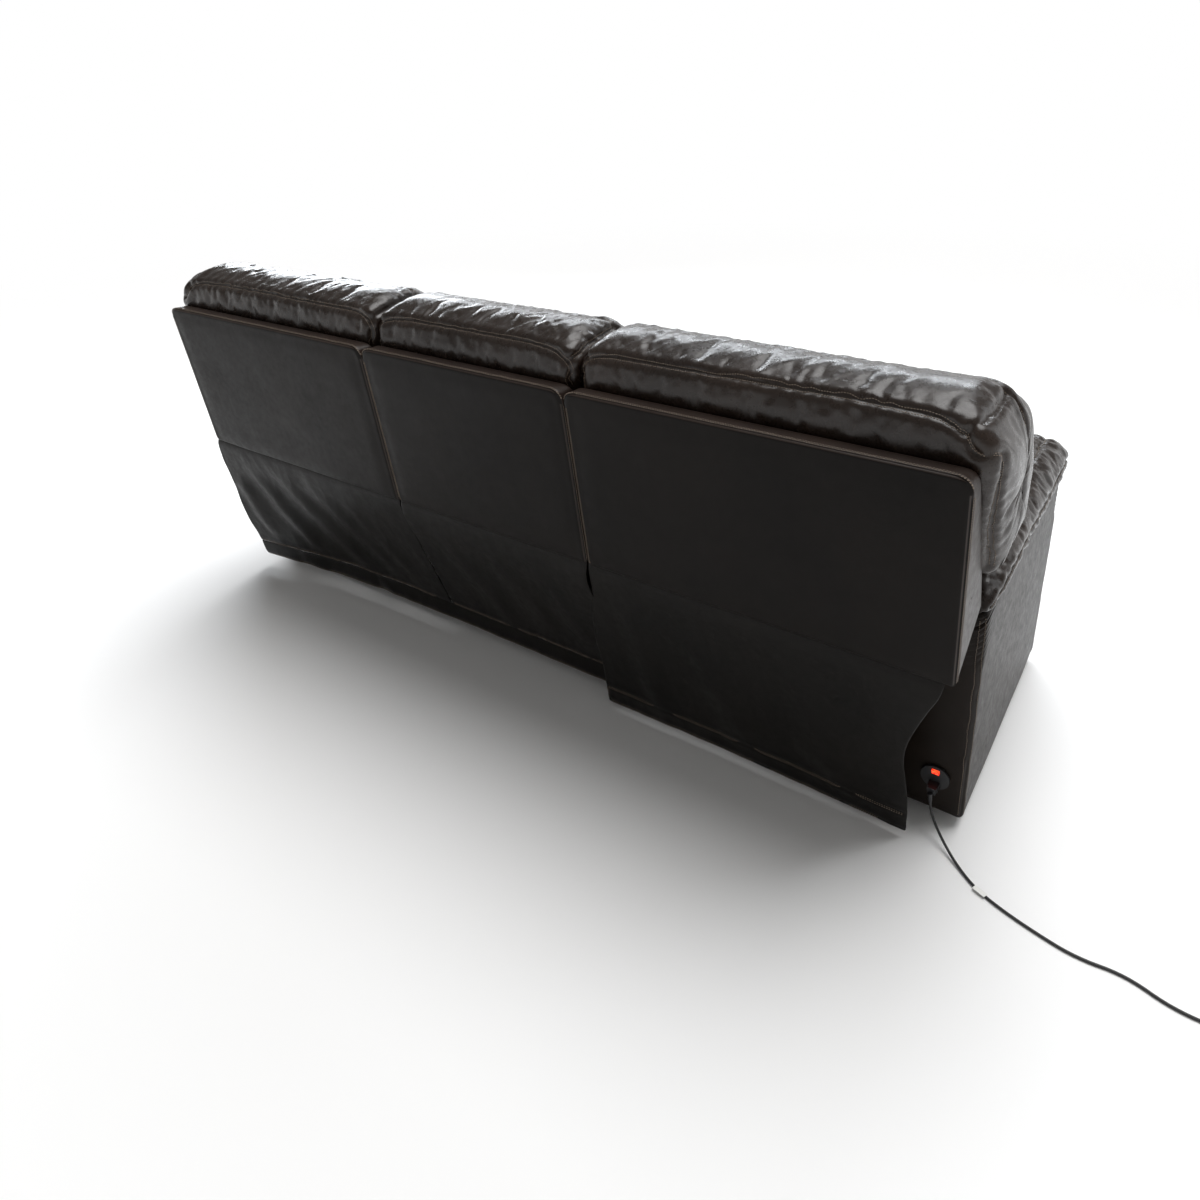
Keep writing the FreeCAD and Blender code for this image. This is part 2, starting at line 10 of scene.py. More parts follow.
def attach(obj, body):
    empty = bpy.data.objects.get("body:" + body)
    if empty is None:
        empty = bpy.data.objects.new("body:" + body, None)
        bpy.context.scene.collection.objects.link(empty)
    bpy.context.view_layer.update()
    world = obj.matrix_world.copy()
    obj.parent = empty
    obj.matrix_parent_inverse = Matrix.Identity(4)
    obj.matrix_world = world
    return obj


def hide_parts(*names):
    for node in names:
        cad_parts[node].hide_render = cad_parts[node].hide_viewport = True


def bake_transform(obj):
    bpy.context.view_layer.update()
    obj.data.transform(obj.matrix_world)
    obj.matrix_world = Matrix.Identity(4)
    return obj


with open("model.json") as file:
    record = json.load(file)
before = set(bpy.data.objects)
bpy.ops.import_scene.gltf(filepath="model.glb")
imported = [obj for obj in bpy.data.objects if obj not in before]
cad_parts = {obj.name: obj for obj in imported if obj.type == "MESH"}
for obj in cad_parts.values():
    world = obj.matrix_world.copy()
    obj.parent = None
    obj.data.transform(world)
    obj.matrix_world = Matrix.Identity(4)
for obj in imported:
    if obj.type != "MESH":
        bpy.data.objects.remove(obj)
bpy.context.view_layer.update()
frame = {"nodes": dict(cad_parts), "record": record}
mm = 0.001  # the tables are in millimetres, Blender's own lengths in metres

# meshes


def link(name, data):
    piece = bpy.data.objects.new(name, data)
    bpy.context.scene.collection.objects.link(piece)
    return piece


def meshPiece(name, verts, faces, smooth=True):
    mesh = bpy.data.meshes.new(name)
    mesh.from_pydata([tuple(v) for v in verts], [], faces)
    mesh.update()
    mesh.polygons.foreach_set("use_smooth", [smooth] * len(mesh.polygons))
    return link(name, mesh)


def coords(piece):
    flat = np.empty(len(piece.data.vertices) * 3)
    piece.data.vertices.foreach_get("co", flat)
    return flat.reshape(-1, 3)


def setCoords(piece, points):
    piece.data.vertices.foreach_set("co", np.asarray(points, float).ravel())
    piece.data.update()


def normals(piece):
    flat = np.empty(len(piece.data.vertices) * 3)
    piece.data.vertices.foreach_get("normal", flat)
    return flat.reshape(-1, 3)


def turnOutwards(piece):
    work = bmesh.new()
    work.from_mesh(piece.data)
    bmesh.ops.remove_doubles(work, verts=work.verts, dist=1e-6)
    bmesh.ops.recalc_face_normals(work, faces=work.faces)
    work.to_mesh(piece.data)
    work.free()
    piece.data.update()
    return piece


def mirrored(piece, side):  # pieces are made for the left side, 1; the right one is -1
    points = coords(piece)
    points[:, 0] *= side
    setCoords(piece, points)
    return turnOutwards(piece)


def applied(piece):
    bpy.context.view_layer.update()
    done = bpy.data.meshes.new_from_object(piece.evaluated_get(bpy.context.evaluated_depsgraph_get()))
    old = piece.data
    piece.modifiers.clear()
    piece.data = done
    bpy.data.meshes.remove(old)
    done.polygons.foreach_set("use_smooth", [True] * len(done.polygons))
    return piece


def finer(piece):
    modifier = piece.modifiers.new("Finer", "SUBSURF")
    modifier.levels = modifier.render_levels = 1
    return applied(piece)


def treeOf(piece):
    work = bmesh.new()
    work.from_mesh(piece.data)
    tree = BVHTree.FromBMesh(work)
    work.free()
    return tree


# lines


def evenly(line, count):  # a polyline cut again into count points, both ends kept
    line = np.asarray(line, float)
    steps = np.linalg.norm(np.diff(line, axis=0), axis=1)
    along = np.concatenate([[0], np.cumsum(steps)])
    want = np.linspace(0, along[-1], count)
    return np.column_stack([np.interp(want, along, line[:, k]) for k in range(line.shape[1])])


def softened(line, rounds, closed=True):
    for _ in range(rounds):
        ahead, behind = np.roll(line, -1, axis=0), np.roll(line, 1, axis=0)
        if not closed:
            ahead[-1], behind[0] = line[-1], line[0]
        line = 0.5 * line + 0.25 * (ahead + behind)
    return line


def curveThrough(keys, values, want):  # smooth values at want, passing through each key
    keys, values = np.asarray(keys, float), np.asarray(values, float)
    slopes = np.gradient(values, keys, axis=0)
    index = np.clip(np.searchsorted(keys, want, side="right") - 1, 0, len(keys) - 2)
    span = keys[index + 1] - keys[index]
    t = (want - keys[index]) / span
    if values.ndim > 1:
        t, span = t[:, None], span[:, None]
    a, b, c, d = values[index], values[index + 1], slopes[index] * span, slopes[index + 1] * span
    return (a * (2 * t ** 3 - 3 * t ** 2 + 1) + b * (3 * t ** 2 - 2 * t ** 3)
            + c * (t ** 3 - 2 * t ** 2 + t) + d * (t ** 3 - t ** 2))


def smoothStep(value):
    value = np.clip(value, 0.0, 1.0)
    return value * value * (3 - 2 * value)


def ofSide(line, side):
    return [(x * side, y, z) for x, y, z in line]


nearSet = {"beyond": 9.0, "step": 0.008, "stretch": 12}  # metres, metres, points looked at together


# distance of each point from a polyline, and how far along it that is
def nearPath(points, path, reach=0.04):
    best, along = np.full(len(points), nearSet["beyond"]), np.zeros(len(points))
    gone = 0.0
    total = np.linalg.norm(np.diff(path, axis=0), axis=1).sum()
    path = evenly(path, max(4, int(total / nearSet["step"])))
    for first in range(0, len(path) - 1, nearSet["stretch"]):
        stretch = path[first:first + nearSet["stretch"] + 1]
        low, high = stretch.min(axis=0) - reach, stretch.max(axis=0) + reach
        near = np.nonzero(((points > low) & (points < high)).all(axis=1))[0]
        for a, b in zip(stretch[:-1], stretch[1:]):
            edge = b - a
            length = max(np.linalg.norm(edge), 1e-9)
            rel = points[near] - a
            t = np.clip((rel @ edge) / length ** 2, 0, 1)
            away = np.linalg.norm(rel - t[:, None] * edge, axis=1)
            closer = away < best[near]
            best[near[closer]], along[near[closer]] = away[closer], gone + t[closer] * length
            gone += length
    return best, along


# a guide in millimetres laid on the surface: its points in metres, and the normals there
def onSurface(tree, guide, spacing=3.0):
    guide = np.asarray(guide, float)
    total = np.linalg.norm(np.diff(guide, axis=0), axis=1).sum()
    rough = softened(evenly(guide, max(12, int(total / 8))), 2, closed=False)
    fine = evenly(rough, max(6, int(total / spacing)))
    spots = [tree.find_nearest(Vector(p * mm)) for p in fine]
    return np.array([s[0] for s in spots]), np.array([s[1] for s in spots])


# noise
noiseSet = {"draw": 20, "slopes": 256, "seedStep": (7.31, 3.17, 5.71), "gain": 1.5}
creaseSet = {"layers": 3, "sharp": 3.2, "floor": -0.6, "finer": 1.9, "fade": 0.55, "whole": 1.85,
             "seedStep": 11}
noiseDraw = np.random.RandomState(noiseSet["draw"])
noiseOrder = noiseDraw.permutation(noiseSet["slopes"])
noiseSlopes = noiseDraw.normal(size=(noiseSet["slopes"], 3))
noiseSlopes /= np.linalg.norm(noiseSlopes, axis=1)[:, None]
cellCorners = ((0, 0, 0), (1, 0, 0), (0, 1, 0), (1, 1, 0), (0, 0, 1), (1, 0, 1), (0, 1, 1), (1, 1, 1))


# smooth noise from about -1 to 1, one value a point; scale may differ along each axis
def field(points, scale, seed):
    spots = np.asarray(points) * scale + seed * np.array(noiseSet["seedStep"])
    cell = np.floor(spots).astype(int)
    part = spots - cell
    ease = part ** 3 * (part * (part * 6 - 15) + 10)
    size = noiseSet["slopes"]
    total = np.zeros(len(spots))
    for corner in cellCorners:
        x, y, z = ((cell + corner) % size).T
        slope = noiseSlopes[noiseOrder[(noiseOrder[(noiseOrder[x] + y) % size] + z) % size]]
        share = np.prod(np.where(corner, ease, 1 - ease), axis=1)
        total += share * np.einsum("ij,ij->i", slope, part - corner)
    return total * noiseSet["gain"]


# noise with narrow ridges, as folds in tight leather make; about -0.5 to 1
def creased(points, scale, seed):
    c = creaseSet
    scale = np.asarray(scale, float)
    total, weight = np.zeros(len(points)), 1.0
    for layer in range(c["layers"]):
        ridge = 1.0 - np.abs(field(points, scale, seed + layer * c["seedStep"])) * c["sharp"]
        total += weight * np.clip(ridge, c["floor"], 1.0)
        scale, weight = scale * c["finer"], weight * c["fade"]
    return total / c["whole"]


# padded forms


# closed section in (y, z): marks say at which corner each stretch ends and how many points it gets
def sectionOf(corners, marks):
    ring, start = [], 0
    for end, count in marks:
        stretch = corners[start:end + 1] if end < len(corners) else corners[start:] + corners[:1]
        ring.append(evenly(stretch, count + 1)[:-1])
        start = end
    return np.vstack(ring)


def ringOf(corners, count, rounds):  # the same with equal steps all round, then softened
    return softened(evenly(corners + corners[:1], count)[:-1], rounds)


def drawnIn(ring, distance):
    ahead, behind = np.roll(ring, -1, axis=0), np.roll(ring, 1, axis=0)
    along = ahead - behind
    along /= np.maximum(np.linalg.norm(along, axis=1), 1e-6)[:, None]
    outward = np.column_stack([along[:, 1], -along[:, 0]])
    inner = ring - outward * distance
    return softened(inner, 2) if distance > 0.5 else inner


def capRings(at, ring, dome, sign, spacing):
    centre = ring.mean(axis=0)
    reach = np.linalg.norm(ring - centre, axis=1).min()
    count = max(4, int(reach / (spacing * 1.1)))
    shares = [1.0 - k / count for k in range(1, count)]
    return [(at + sign * dome * (1 - share * share), centre + (ring - centre) * share) for share in shares]


def edgeRings(section, at, radius, sign, spacing):
    count = max(3, int(radius * 1.57 / spacing))
    made = []
    for k in range(count):
        turn = math.pi / 2 * k / count
        t = at + sign * radius * (1 - math.cos(turn))
        made.append((t, drawnIn(section(t), radius * (1 - math.sin(turn)))))
    return made


# closed form with rounded ends: section(t) gives the ring at t along the form
def padForm(name, section, ends, rounds, domes, spacing=8.0, order=(0, 1, 2)):
    start, stop = ends
    first = edgeRings(section, start, rounds[0], 1, spacing)
    last = edgeRings(section, stop, rounds[1], -1, spacing)
    rings = capRings(start, first[0][1], domes[0], -1, spacing)[::-1] + first
    low, high = start + rounds[0], stop - rounds[1]
    for t in np.linspace(low, high, max(3, int((high - low) / spacing)) + 1):
        rings.append((t, section(t)))
    rings += last[::-1] + capRings(stop, last[0][1], domes[1], 1, spacing)
    n = len(rings[0][1])
    verts = [(t, *p) for t, ring in rings for p in ring]
    faces = [(i * n + j, i * n + (j + 1) % n, (i + 1) * n + (j + 1) % n, (i + 1) * n + j)
             for i in range(len(rings) - 1) for j in range(n)]
    for base in (0, (len(rings) - 1) * n):  # the last small ring is closed from side to side
        for j in range(n // 2 - 1):
            faces.append((base + j, base + j + 1, base + n - 2 - j, base + n - 1 - j))
        if n % 2:
            faces.append(tuple(base + n // 2 - 1 + k for k in range(3)))
    return turnOutwards(meshPiece(name, np.array(verts)[:, order] * mm, faces))


# the square corner between an end and the top turned into an arc; side says which end it is
def cornerRound(points, end, top, radius, side):
    a = (points[:, 0] * side - (end * side - radius)) / radius
    b = (points[:, 2] - (top - radius)) / radius
    inside = (a > 0) & (b > 0)
    a1, b1 = np.clip(a, 0, 1.15), np.clip(b, 0, 1.15)  # domed parts reach a little past 1
    newA, newB = a * np.sqrt(1 - b1 * b1 / 2), b * np.sqrt(1 - a1 * a1 / 2)
    points[inside, 0] = ((newA[inside] * radius) + (end * side - radius)) * side
    points[inside, 2] = newB[inside] * radius + (top - radius)
    return points


# closed outline with an arc at each corner and points along its plain stretches
def filleted(corners, radius, step=14.0, arc=5):
    line = []
    corners = [np.array(c, float) for c in corners]
    for i in range(len(corners)):
        before, here = corners[i - 1], corners[i]
        ahead, after = corners[(i + 1) % len(corners)], corners[(i + 2) % len(corners)]
        back, onward = before - here, ahead - here
        backLong, onwardLong = np.linalg.norm(back), np.linalg.norm(onward)
        u, v = back / backLong, onward / onwardLong
        cut = min(radius / math.tan(math.acos(np.clip(u @ v, -1, 1)) / 2), 0.45 * backLong, 0.45 * onwardLong)
        for t in (k / arc for k in range(arc + 1)):
            line.append((1 - t) ** 2 * (here + u * cut) + 2 * t * (1 - t) * here + t * t * (here + v * cut))
        nextLong = np.linalg.norm(after - ahead)
        half = math.acos(np.clip(-v @ ((after - ahead) / nextLong), -1, 1)) / 2
        nextCut = min(radius / math.tan(half), 0.45 * onwardLong, 0.45 * nextLong)
        a, b = here + v * cut, ahead - v * nextCut
        pieces = max(1, int(np.linalg.norm(b - a) / step))
        line += [a + (b - a) * k / pieces for k in range(1, pieces)]
    return np.array(line)


def heldNear(piece, tree, lines, width):  # 1 on each line, fading over width metres
    points = coords(piece)
    held = np.zeros(len(points))
    for line in lines:
        away, _ = nearPath(points, onSurface(tree, line)[0])
        held = np.maximum(held, np.exp(-(away / width) ** 2))
    return held


clothSet = {"quality": 6, "mass": 0.4, "stretch": 12.0, "shear": 6.0, "bending": 0.4, "pressure": 4.0,
            "frames": 20}


# inflates the piece as cloth under pressure; no point moves further than cap metres
def puffed(piece, cap, grow, held):
    before = coords(piece)
    group = piece.vertex_groups.new(name="Held")
    for index in np.nonzero(held > 0.05)[0]:
        group.add([int(index)], float(min(held[index], 1.0)), "REPLACE")
    cloth = piece.modifiers.new("Cloth", "CLOTH")
    settings = cloth.settings
    settings.quality = clothSet["quality"]
    settings.mass = clothSet["mass"]
    settings.tension_stiffness = settings.compression_stiffness = clothSet["stretch"]
    settings.shear_stiffness = clothSet["shear"]
    settings.bending_stiffness = clothSet["bending"]
    settings.use_pressure = True
    settings.uniform_pressure_force = clothSet["pressure"]
    settings.effector_weights.gravity = 0.0
    settings.shrink_min = settings.shrink_max = -grow
    settings.vertex_group_mass = "Held"
    settings.pin_stiffness = 1.0
    cloth.collision_settings.use_collision = False
    cloth.point_cache.frame_start, cloth.point_cache.frame_end = 1, clothSet["frames"]
    for step in range(1, clothSet["frames"] + 1):
        bpy.context.scene.frame_set(step)
    applied(piece)
    bpy.context.scene.frame_set(1)
    piece.vertex_groups.clear()
    moved = coords(piece) - before
    length = np.linalg.norm(moved, axis=1)
    moved *= (np.minimum(length, cap) / np.maximum(length, 1e-9))[:, None]
    setCoords(piece, before + moved)
    print(piece.name, "puffed by up to", round(float(length.max()), 4))
    return piece


def pushed(piece, distance):  # moves the surface out along its normals, in millimetres
    setCoords(piece, coords(piece) + normals(piece) * (distance * mm)[:, None])


sewSet = {"beadShare": 0.42, "beadAt": 3.2, "beadWide": 2.0, "fade": 2.4, "slant": 0.35, "squeeze": 0.16,
          "lineStep": 31.0, "calmScale": 0.008, "calmGain": 1.4, "calmLeast": 0.35, "clear": 1.6}


# draws the surface in along sewn lines given in metres, with the leather puckered beside them
def sewn(piece, lines, depth=4.5, width=5.0, gather=2.2, pitch=38.0, reach=34.0, seed=1):
    s = sewSet
    points = coords(piece)
    shift = np.zeros(len(points))
    far = reach * s["fade"] * mm
    for number, path in enumerate(lines):
        away, along = nearPath(points, path, far)
        near = away < far
        d = away[near] / mm
        groove = -depth * np.exp(-(d / width) ** 2)
        bead = depth * s["beadShare"] * np.exp(-((d - s["beadAt"] * width) / (s["beadWide"] * width)) ** 2)
        lane = np.full(near.sum(), number * s["lineStep"])
        spots = np.column_stack([along[near] / mm + d * s["slant"], d * s["squeeze"], lane])
        folds = creased(spots, np.ones(3) / pitch, seed + number)
        calm = smoothStep(field(spots, s["calmScale"], seed + 5 + number) * s["calmGain"] + 0.5)
        calm = s["calmLeast"] + (1 - s["calmLeast"]) * calm
        beside = np.exp(-(d / reach) ** 2) * (1 - np.exp(-(d / (width * s["clear"])) ** 2))
        shift[near] += groove + bead + gather * folds * calm * beside
    pushed(piece, shift)


crownSet = {"y": 0.28, "z": 0.86, "radius": 0.13}  # the round top of the back cushions, in metres


# long soft creases over the surface, running at an angle to x
def rumpled(piece, depth, scale, seed, weight, turn):
    points = coords(piece)
    c, s = math.cos(turn), math.sin(turn)
    across = np.arctan2(points[:, 2] - crownSet["z"], points[:, 1] - crownSet["y"]) * crownSet["radius"]
    x, y = points[:, 0], points[:, 1]
    spots = np.column_stack([x * c - across * s, x * s + across * c, y * 0.3])
    pushed(piece, creased(spots, scale, seed) * depth * weight)


# materials


def feed(tree, target, inputs):  # each input is set, or linked where it is given another node's output
    for label, value in inputs.items():
        if isinstance(value, bpy.types.NodeSocket):
            tree.links.new(value, target.inputs[label])
        else:
            target.inputs[label].default_value = value


def node(tree, kind, inputs=None):
    made = tree.nodes.new(kind)
    feed(tree, made, inputs or {})
    return made


def newMaterial(name):
    material = bpy.data.materials.new(name)
    material.use_nodes = True
    tree = material.node_tree
    tree.nodes.clear()
    shader = node(tree, "ShaderNodeBsdfPrincipled")
    node(tree, "ShaderNodeOutputMaterial", {0: shader.outputs[0]})
    return material, tree, shader


def objectPlace(tree, scale=None):
    place = node(tree, "ShaderNodeTexCoord").outputs["Object"]
    if scale is None:
        return place
    return node(tree, "ShaderNodeMapping", {"Vector": place, "Scale": scale}).outputs[0]


def ramp(tree, source, stops):
    made = node(tree, "ShaderNodeValToRGB", {0: source})
    elements = made.color_ramp.elements
    elements[0].position, elements[0].color = stops[0][0], (*stops[0][1], 1)
    elements[1].position, elements[1].color = stops[-1][0], (*stops[-1][1], 1)
    for at, colour in stops[1:-1]:
        elements.new(at).color = (*colour, 1)
    return made.outputs[0]


def spread(tree, source, low, high, fromLow=0.0, fromHigh=1.0):
    return node(tree, "ShaderNodeMapRange", {0: source, 1: fromLow, 2: fromHigh, 3: low, 4: high}).outputs[0]


def noiseTexture(tree, vector, scale, detail, rough=0.55, distortion=0.0):
    return node(tree, "ShaderNodeTexNoise", {"Vector": vector, "Scale": scale, "Detail": detail,
                                             "Roughness": rough, "Distortion": distortion}).outputs[0]


def bump(tree, height, strength, distance):
    return node(tree, "ShaderNodeBump", {"Height": height, "Strength": strength, "Distance": distance})


leatherSet = {"drift": 5.0, "fine": 60.0, "pores": 620.0, "creases": 34.0, "stretch": (1.0, 1.0, 0.55),
              "poreDepth": 0.0006, "creaseDepth": 0.004, "coatRough": 0.28}


# corrected-grain leather: pebbled pores, fine creases, slow drift of colour
def leather(name, dark, light, rough, crease, grain, specular, coat=0.0):
    material, tree, shader = newMaterial(name)
    place = objectPlace(tree)
    drift = noiseTexture(tree, place, leatherSet["drift"], 3.0)
    fine = noiseTexture(tree, place, leatherSet["fine"], 5.0)
    between = [(a + b) / 2 for a, b in zip(dark, light)]
    pores = node(tree, "ShaderNodeTexVoronoi", {"Vector": place, "Scale": leatherSet["pores"]})
    stretched = objectPlace(tree, leatherSet["stretch"])
    creases = noiseTexture(tree, stretched, leatherSet["creases"], 6.0, 0.62, 1.2)
    pebbled = bump(tree, pores.outputs["Distance"], grain * 0.35, leatherSet["poreDepth"])
    wrinkled = bump(tree, creases, crease * 0.55, leatherSet["creaseDepth"])
    feed(tree, wrinkled, {"Normal": pebbled.outputs[0]})
    feed(tree, shader, {"Base Color": ramp(tree, drift, [(0.3, dark), (0.55, between), (0.75, light)]),
                        "Roughness": spread(tree, fine, rough - 0.06, rough + 0.07, 0.3, 0.7),
                        "Specular IOR Level": specular, "Coat Weight": coat,
                        "Coat Roughness": leatherSet["coatRough"], "Normal": wrinkled.outputs[0]})
    return material


# plain surface with a fine grain and a slight variation of colour
def solidFinish(name, colour, rough, metallic, grainScale, grainDepth, variation=0.12):
    material, tree, shader = newMaterial(name)
    place = objectPlace(tree)
    drift = noiseTexture(tree, place, 9.0, 4.0)
    fine = noiseTexture(tree, place, grainScale, 3.0)
    low = [c * (1 - variation) for c in colour]
    high = [min(c * (1 + variation), 1.0) for c in colour]
    feed(tree, shader, {"Base Color": ramp(tree, drift, [(0.3, low), (0.7, high)]), "Metallic": metallic,
                        "Roughness": spread(tree, fine, rough - 0.05, rough + 0.05, 0.3, 0.7),
                        "Normal": bump(tree, fine, grainDepth, 0.0004).outputs[0]})
    return material


def plywoodFinish():
    material, tree, shader = newMaterial("StainedPly")
    grain = noiseTexture(tree, objectPlace(tree, (1.5, 14.0, 14.0)), 6.0, 8.0, 0.6, 0.8)
    stain = [(0.3, (0.020, 0.013, 0.009)), (0.7, (0.040, 0.026, 0.018))]
    feed(tree, shader, {"Base Color": ramp(tree, grain, stain), "Roughness": spread(tree, grain, 0.5, 0.68),
                        "Normal": bump(tree, grain, 0.2, 0.001).outputs[0]})
    return material


def litRed():
    material, tree, shader = newMaterial("LitRed")
    glow = noiseTexture(tree, objectPlace(tree), 160.0, 2.0)
    unlit, lit = ([(0.35, (0.75, 0.01, 0.004)), (0.65, (1.0, 0.10, 0.03))],
                  [(0.35, (0.9, 0.012, 0.004)), (0.65, (1.0, 0.14, 0.04))])
    feed(tree, shader, {"Base Color": ramp(tree, glow, unlit), "Emission Color": ramp(tree, glow, lit),
                        "Emission Strength": 1.3, "Roughness": 0.22})
    return material


leathers = {  # dark, light, roughness, creases, grain, specular, coat
    "CushionLeather": ((0.0135, 0.0085, 0.0062), (0.0250, 0.0158, 0.0112), 0.28, 0.35, 0.5, 0.38, 0.10),
    "PanelLeather": ((0.0050, 0.0040, 0.0034), (0.0088, 0.0068, 0.0056), 0.41, 0.12, 0.6, 0.11),
    "BandLeather": ((0.0170, 0.0105, 0.0078), (0.0290, 0.0180, 0.0130), 0.42, 0.12, 0.6, 0.3),
    "ArmLeather": ((0.0100, 0.0070, 0.0052), (0.0180, 0.0124, 0.0090), 0.40, 0.2, 0.6, 0.13),
    "SkirtLeather": ((0.0052, 0.0045, 0.0040), (0.0090, 0.0075, 0.0064), 0.42, 0.3, 0.5, 0.12)}
solids = {  # colour, roughness, metallic, grain scale, grain depth, variation where it isn't the usual
    "TanThread": ((0.22, 0.172, 0.132), 0.62, 0.0, 900.0, 0.5),
    "BlackSteel": ((0.028, 0.028, 0.030), 0.42, 0.3, 420.0, 0.25),
    "ZincSteel": ((0.52, 0.53, 0.55), 0.34, 1.0, 260.0, 0.1),
    "BlackPlastic": ((0.016, 0.016, 0.018), 0.46, 0.0, 700.0, 0.35),
    "FootPlastic": ((0.02, 0.02, 0.02), 0.55, 0.0, 500.0, 0.3),
    "CordRubber": ((0.014, 0.014, 0.015), 0.48, 0.0, 900.0, 0.25),
    "ButtonGrey": ((0.32, 0.32, 0.33), 0.36, 0.4, 600.0, 0.15),
    "TagPaper": ((0.84, 0.84, 0.81), 0.6, 0.0, 800.0, 0.2, 0.04)}
finish = {name: leather(name, *values) for name, values in leathers.items()}
finish.update({name: solidFinish(name, *values) for name, values in solids.items()})
finish.update({"StainedPly": plywoodFinish(), "LitRed": litRed()})


def dress(piece, material):
    piece.data.materials.clear()
    piece.data.materials.append(material)
    return piece


slotFinish = {"leather_cushion": "CushionLeather", "leather_panel": "PanelLeather",
              "leather_skirt": "SkirtLeather", "plywood": "StainedPly", "black_steel": "BlackSteel",
              "zinc_steel": "ZincSteel", "foot_plastic": "FootPlastic", "button_grey": "ButtonGrey",
              "cord_rubber": "CordRubber",
              "rocker_red": "LitRed", "tag_white": "TagPaper", "black_plastic": "BlackPlastic"}
for part in frame["record"]["subparts"]:
    dress(frame["nodes"][part["node"]], finish[slotFinish[part["material_slot"]]])
print("materials ready")


def finished(piece, body, slotName, nodes, material=None):
    dress(piece, finish[material or slotFinish[slotName]])
    if body is not None:
        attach(piece, body)
    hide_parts(*nodes)
    print(piece.name, len(piece.data.polygons))


# stitches, kept as lines while the pieces are made and laid at the end
stitchSet = {"pitch": 0.0050, "length": 0.0038, "thick": 0.0015, "points": 5, "rings": 3,
             "spacing": 2.0, "lift": 0.002, "rounds": 24, "raised": 0.0006}
stitchRuns = {}  # body name -> lines of points in metres


# keeps rows of stitches for a body: along a line on the surface, some millimetres to either side of it
def thread(body, tree, line, *offsets):
    points, out = onSurface(tree, line, stitchSet["spacing"])
    along = np.gradient(points, axis=0)
    along /= np.maximum(np.linalg.norm(along, axis=1), 1e-9)[:, None]
    side = np.cross(out, along)
    for offset in offsets:
        row = points + side * offset * mm + out * stitchSet["lift"]
        spots = [tree.find_nearest(Vector(p)) for p in softened(row, stitchSet["rounds"], closed=False)]
        laid = np.array([np.array(s[0]) + np.array(s[1]) * stitchSet["raised"] for s in spots])
        stitchRuns.setdefault(body, []).append(laid)


# gathers the leather along every line, then keeps rows of thread beside the first few of them
def seamed(piece, body, lines, offsets, threaded=None, **look):
    tree = treeOf(piece)
    sewn(piece, [onSurface(tree, line)[0] for line in lines], **look)
    tree = treeOf(piece)
    for line in lines[:threaded]:
        thread(body, tree, line, *offsets)


def stitchTree():  # one thread stitch after another along every line of the piece
    tree = bpy.data.node_groups.new("StitchRun", "GeometryNodeTree")
    socket = tree.interface.new_socket
    socket("Geometry", in_out="INPUT", socket_type="NodeSocketGeometry")
    for label, value in (("Pitch", stitchSet["pitch"]), ("Stitch length", stitchSet["length"]),
                         ("Thread thickness", stitchSet["thick"])):
        socket(label, in_out="INPUT", socket_type="NodeSocketFloat").default_value = value
    socket("Thread", in_out="INPUT", socket_type="NodeSocketMaterial")
    socket("Geometry", in_out="OUTPUT", socket_type="NodeSocketGeometry")
    start = node(tree, "NodeGroupInput").outputs
    curve = node(tree, "GeometryNodeMeshToCurve", {"Mesh": start["Geometry"]})
    points = node(tree, "GeometryNodeCurveToPoints")
    points.mode = "LENGTH"
    feed(tree, points, {"Curve": curve.outputs[0], "Length": start["Pitch"]})
    ball = node(tree, "GeometryNodeMeshUVSphere",
                {"Segments": stitchSet["points"], "Rings": stitchSet["rings"], "Radius": 0.5})
    thick, long = start["Thread thickness"], start["Stitch length"]
    size = node(tree, "ShaderNodeCombineXYZ", {0: thick, 1: thick, 2: long})
    aim = node(tree, "FunctionNodeAlignEulerToVector", {"Vector": points.outputs["Tangent"]})
    aim.axis = "Z"
    place = node(tree, "GeometryNodeInstanceOnPoints",
                 {"Points": points.outputs["Points"], "Instance": ball.outputs[0],
                  "Rotation": aim.outputs[0], "Scale": size.outputs[0]})
    real = node(tree, "GeometryNodeRealizeInstances", {0: place.outputs[0]})
    colour = node(tree, "GeometryNodeSetMaterial", {"Geometry": real.outputs[0], "Material": start["Thread"]})
    node(tree, "NodeGroupOutput", {0: colour.outputs[0]})
    return tree


def stitches():
    tree = stitchTree()
    for body, runs in stitchRuns.items():
        verts, edges = [], []
        for run in runs:
            edges += [(len(verts) + k, len(verts) + k + 1) for k in range(len(run) - 1)]
            verts += [tuple(p) for p in run]
        mesh = bpy.data.meshes.new("Stitches")
        mesh.from_pydata(verts, edges, [])
        piece = link("Stitches_" + body, mesh)
        modifier = piece.modifiers.new("StitchRun", "NODES")
        modifier.node_group = tree
        for item in tree.interface.items_tree:
            if item.item_type == "SOCKET" and item.in_out == "INPUT" and item.name == "Thread":
                modifier[item.identifier] = finish["TanThread"]
        applied(piece)
        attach(piece, body)
        print(piece.name, len(piece.data.polygons))


# power cord
cordSet = {"diameter": 0.0056, "coilTurns": 6, "coilPoints": 12, "pitch": 0.0066, "outer": 0.041,
           "lead": 0.036}
cordRoute = [(-1030.5, 264, 76), (-1035, 267, 50), (-1066, 287, 16), (-1107, 324, 3), (-1152, 360, 3),
             (-1205, 381, 3), (-1264, 397, 3), (-1335, 411, 3), (-1412, 400, 3), (-1484, 424, 3),
             (-1558, 420, 3)]
coilCentre = Vector((-1.625, 0.379, 0.003))


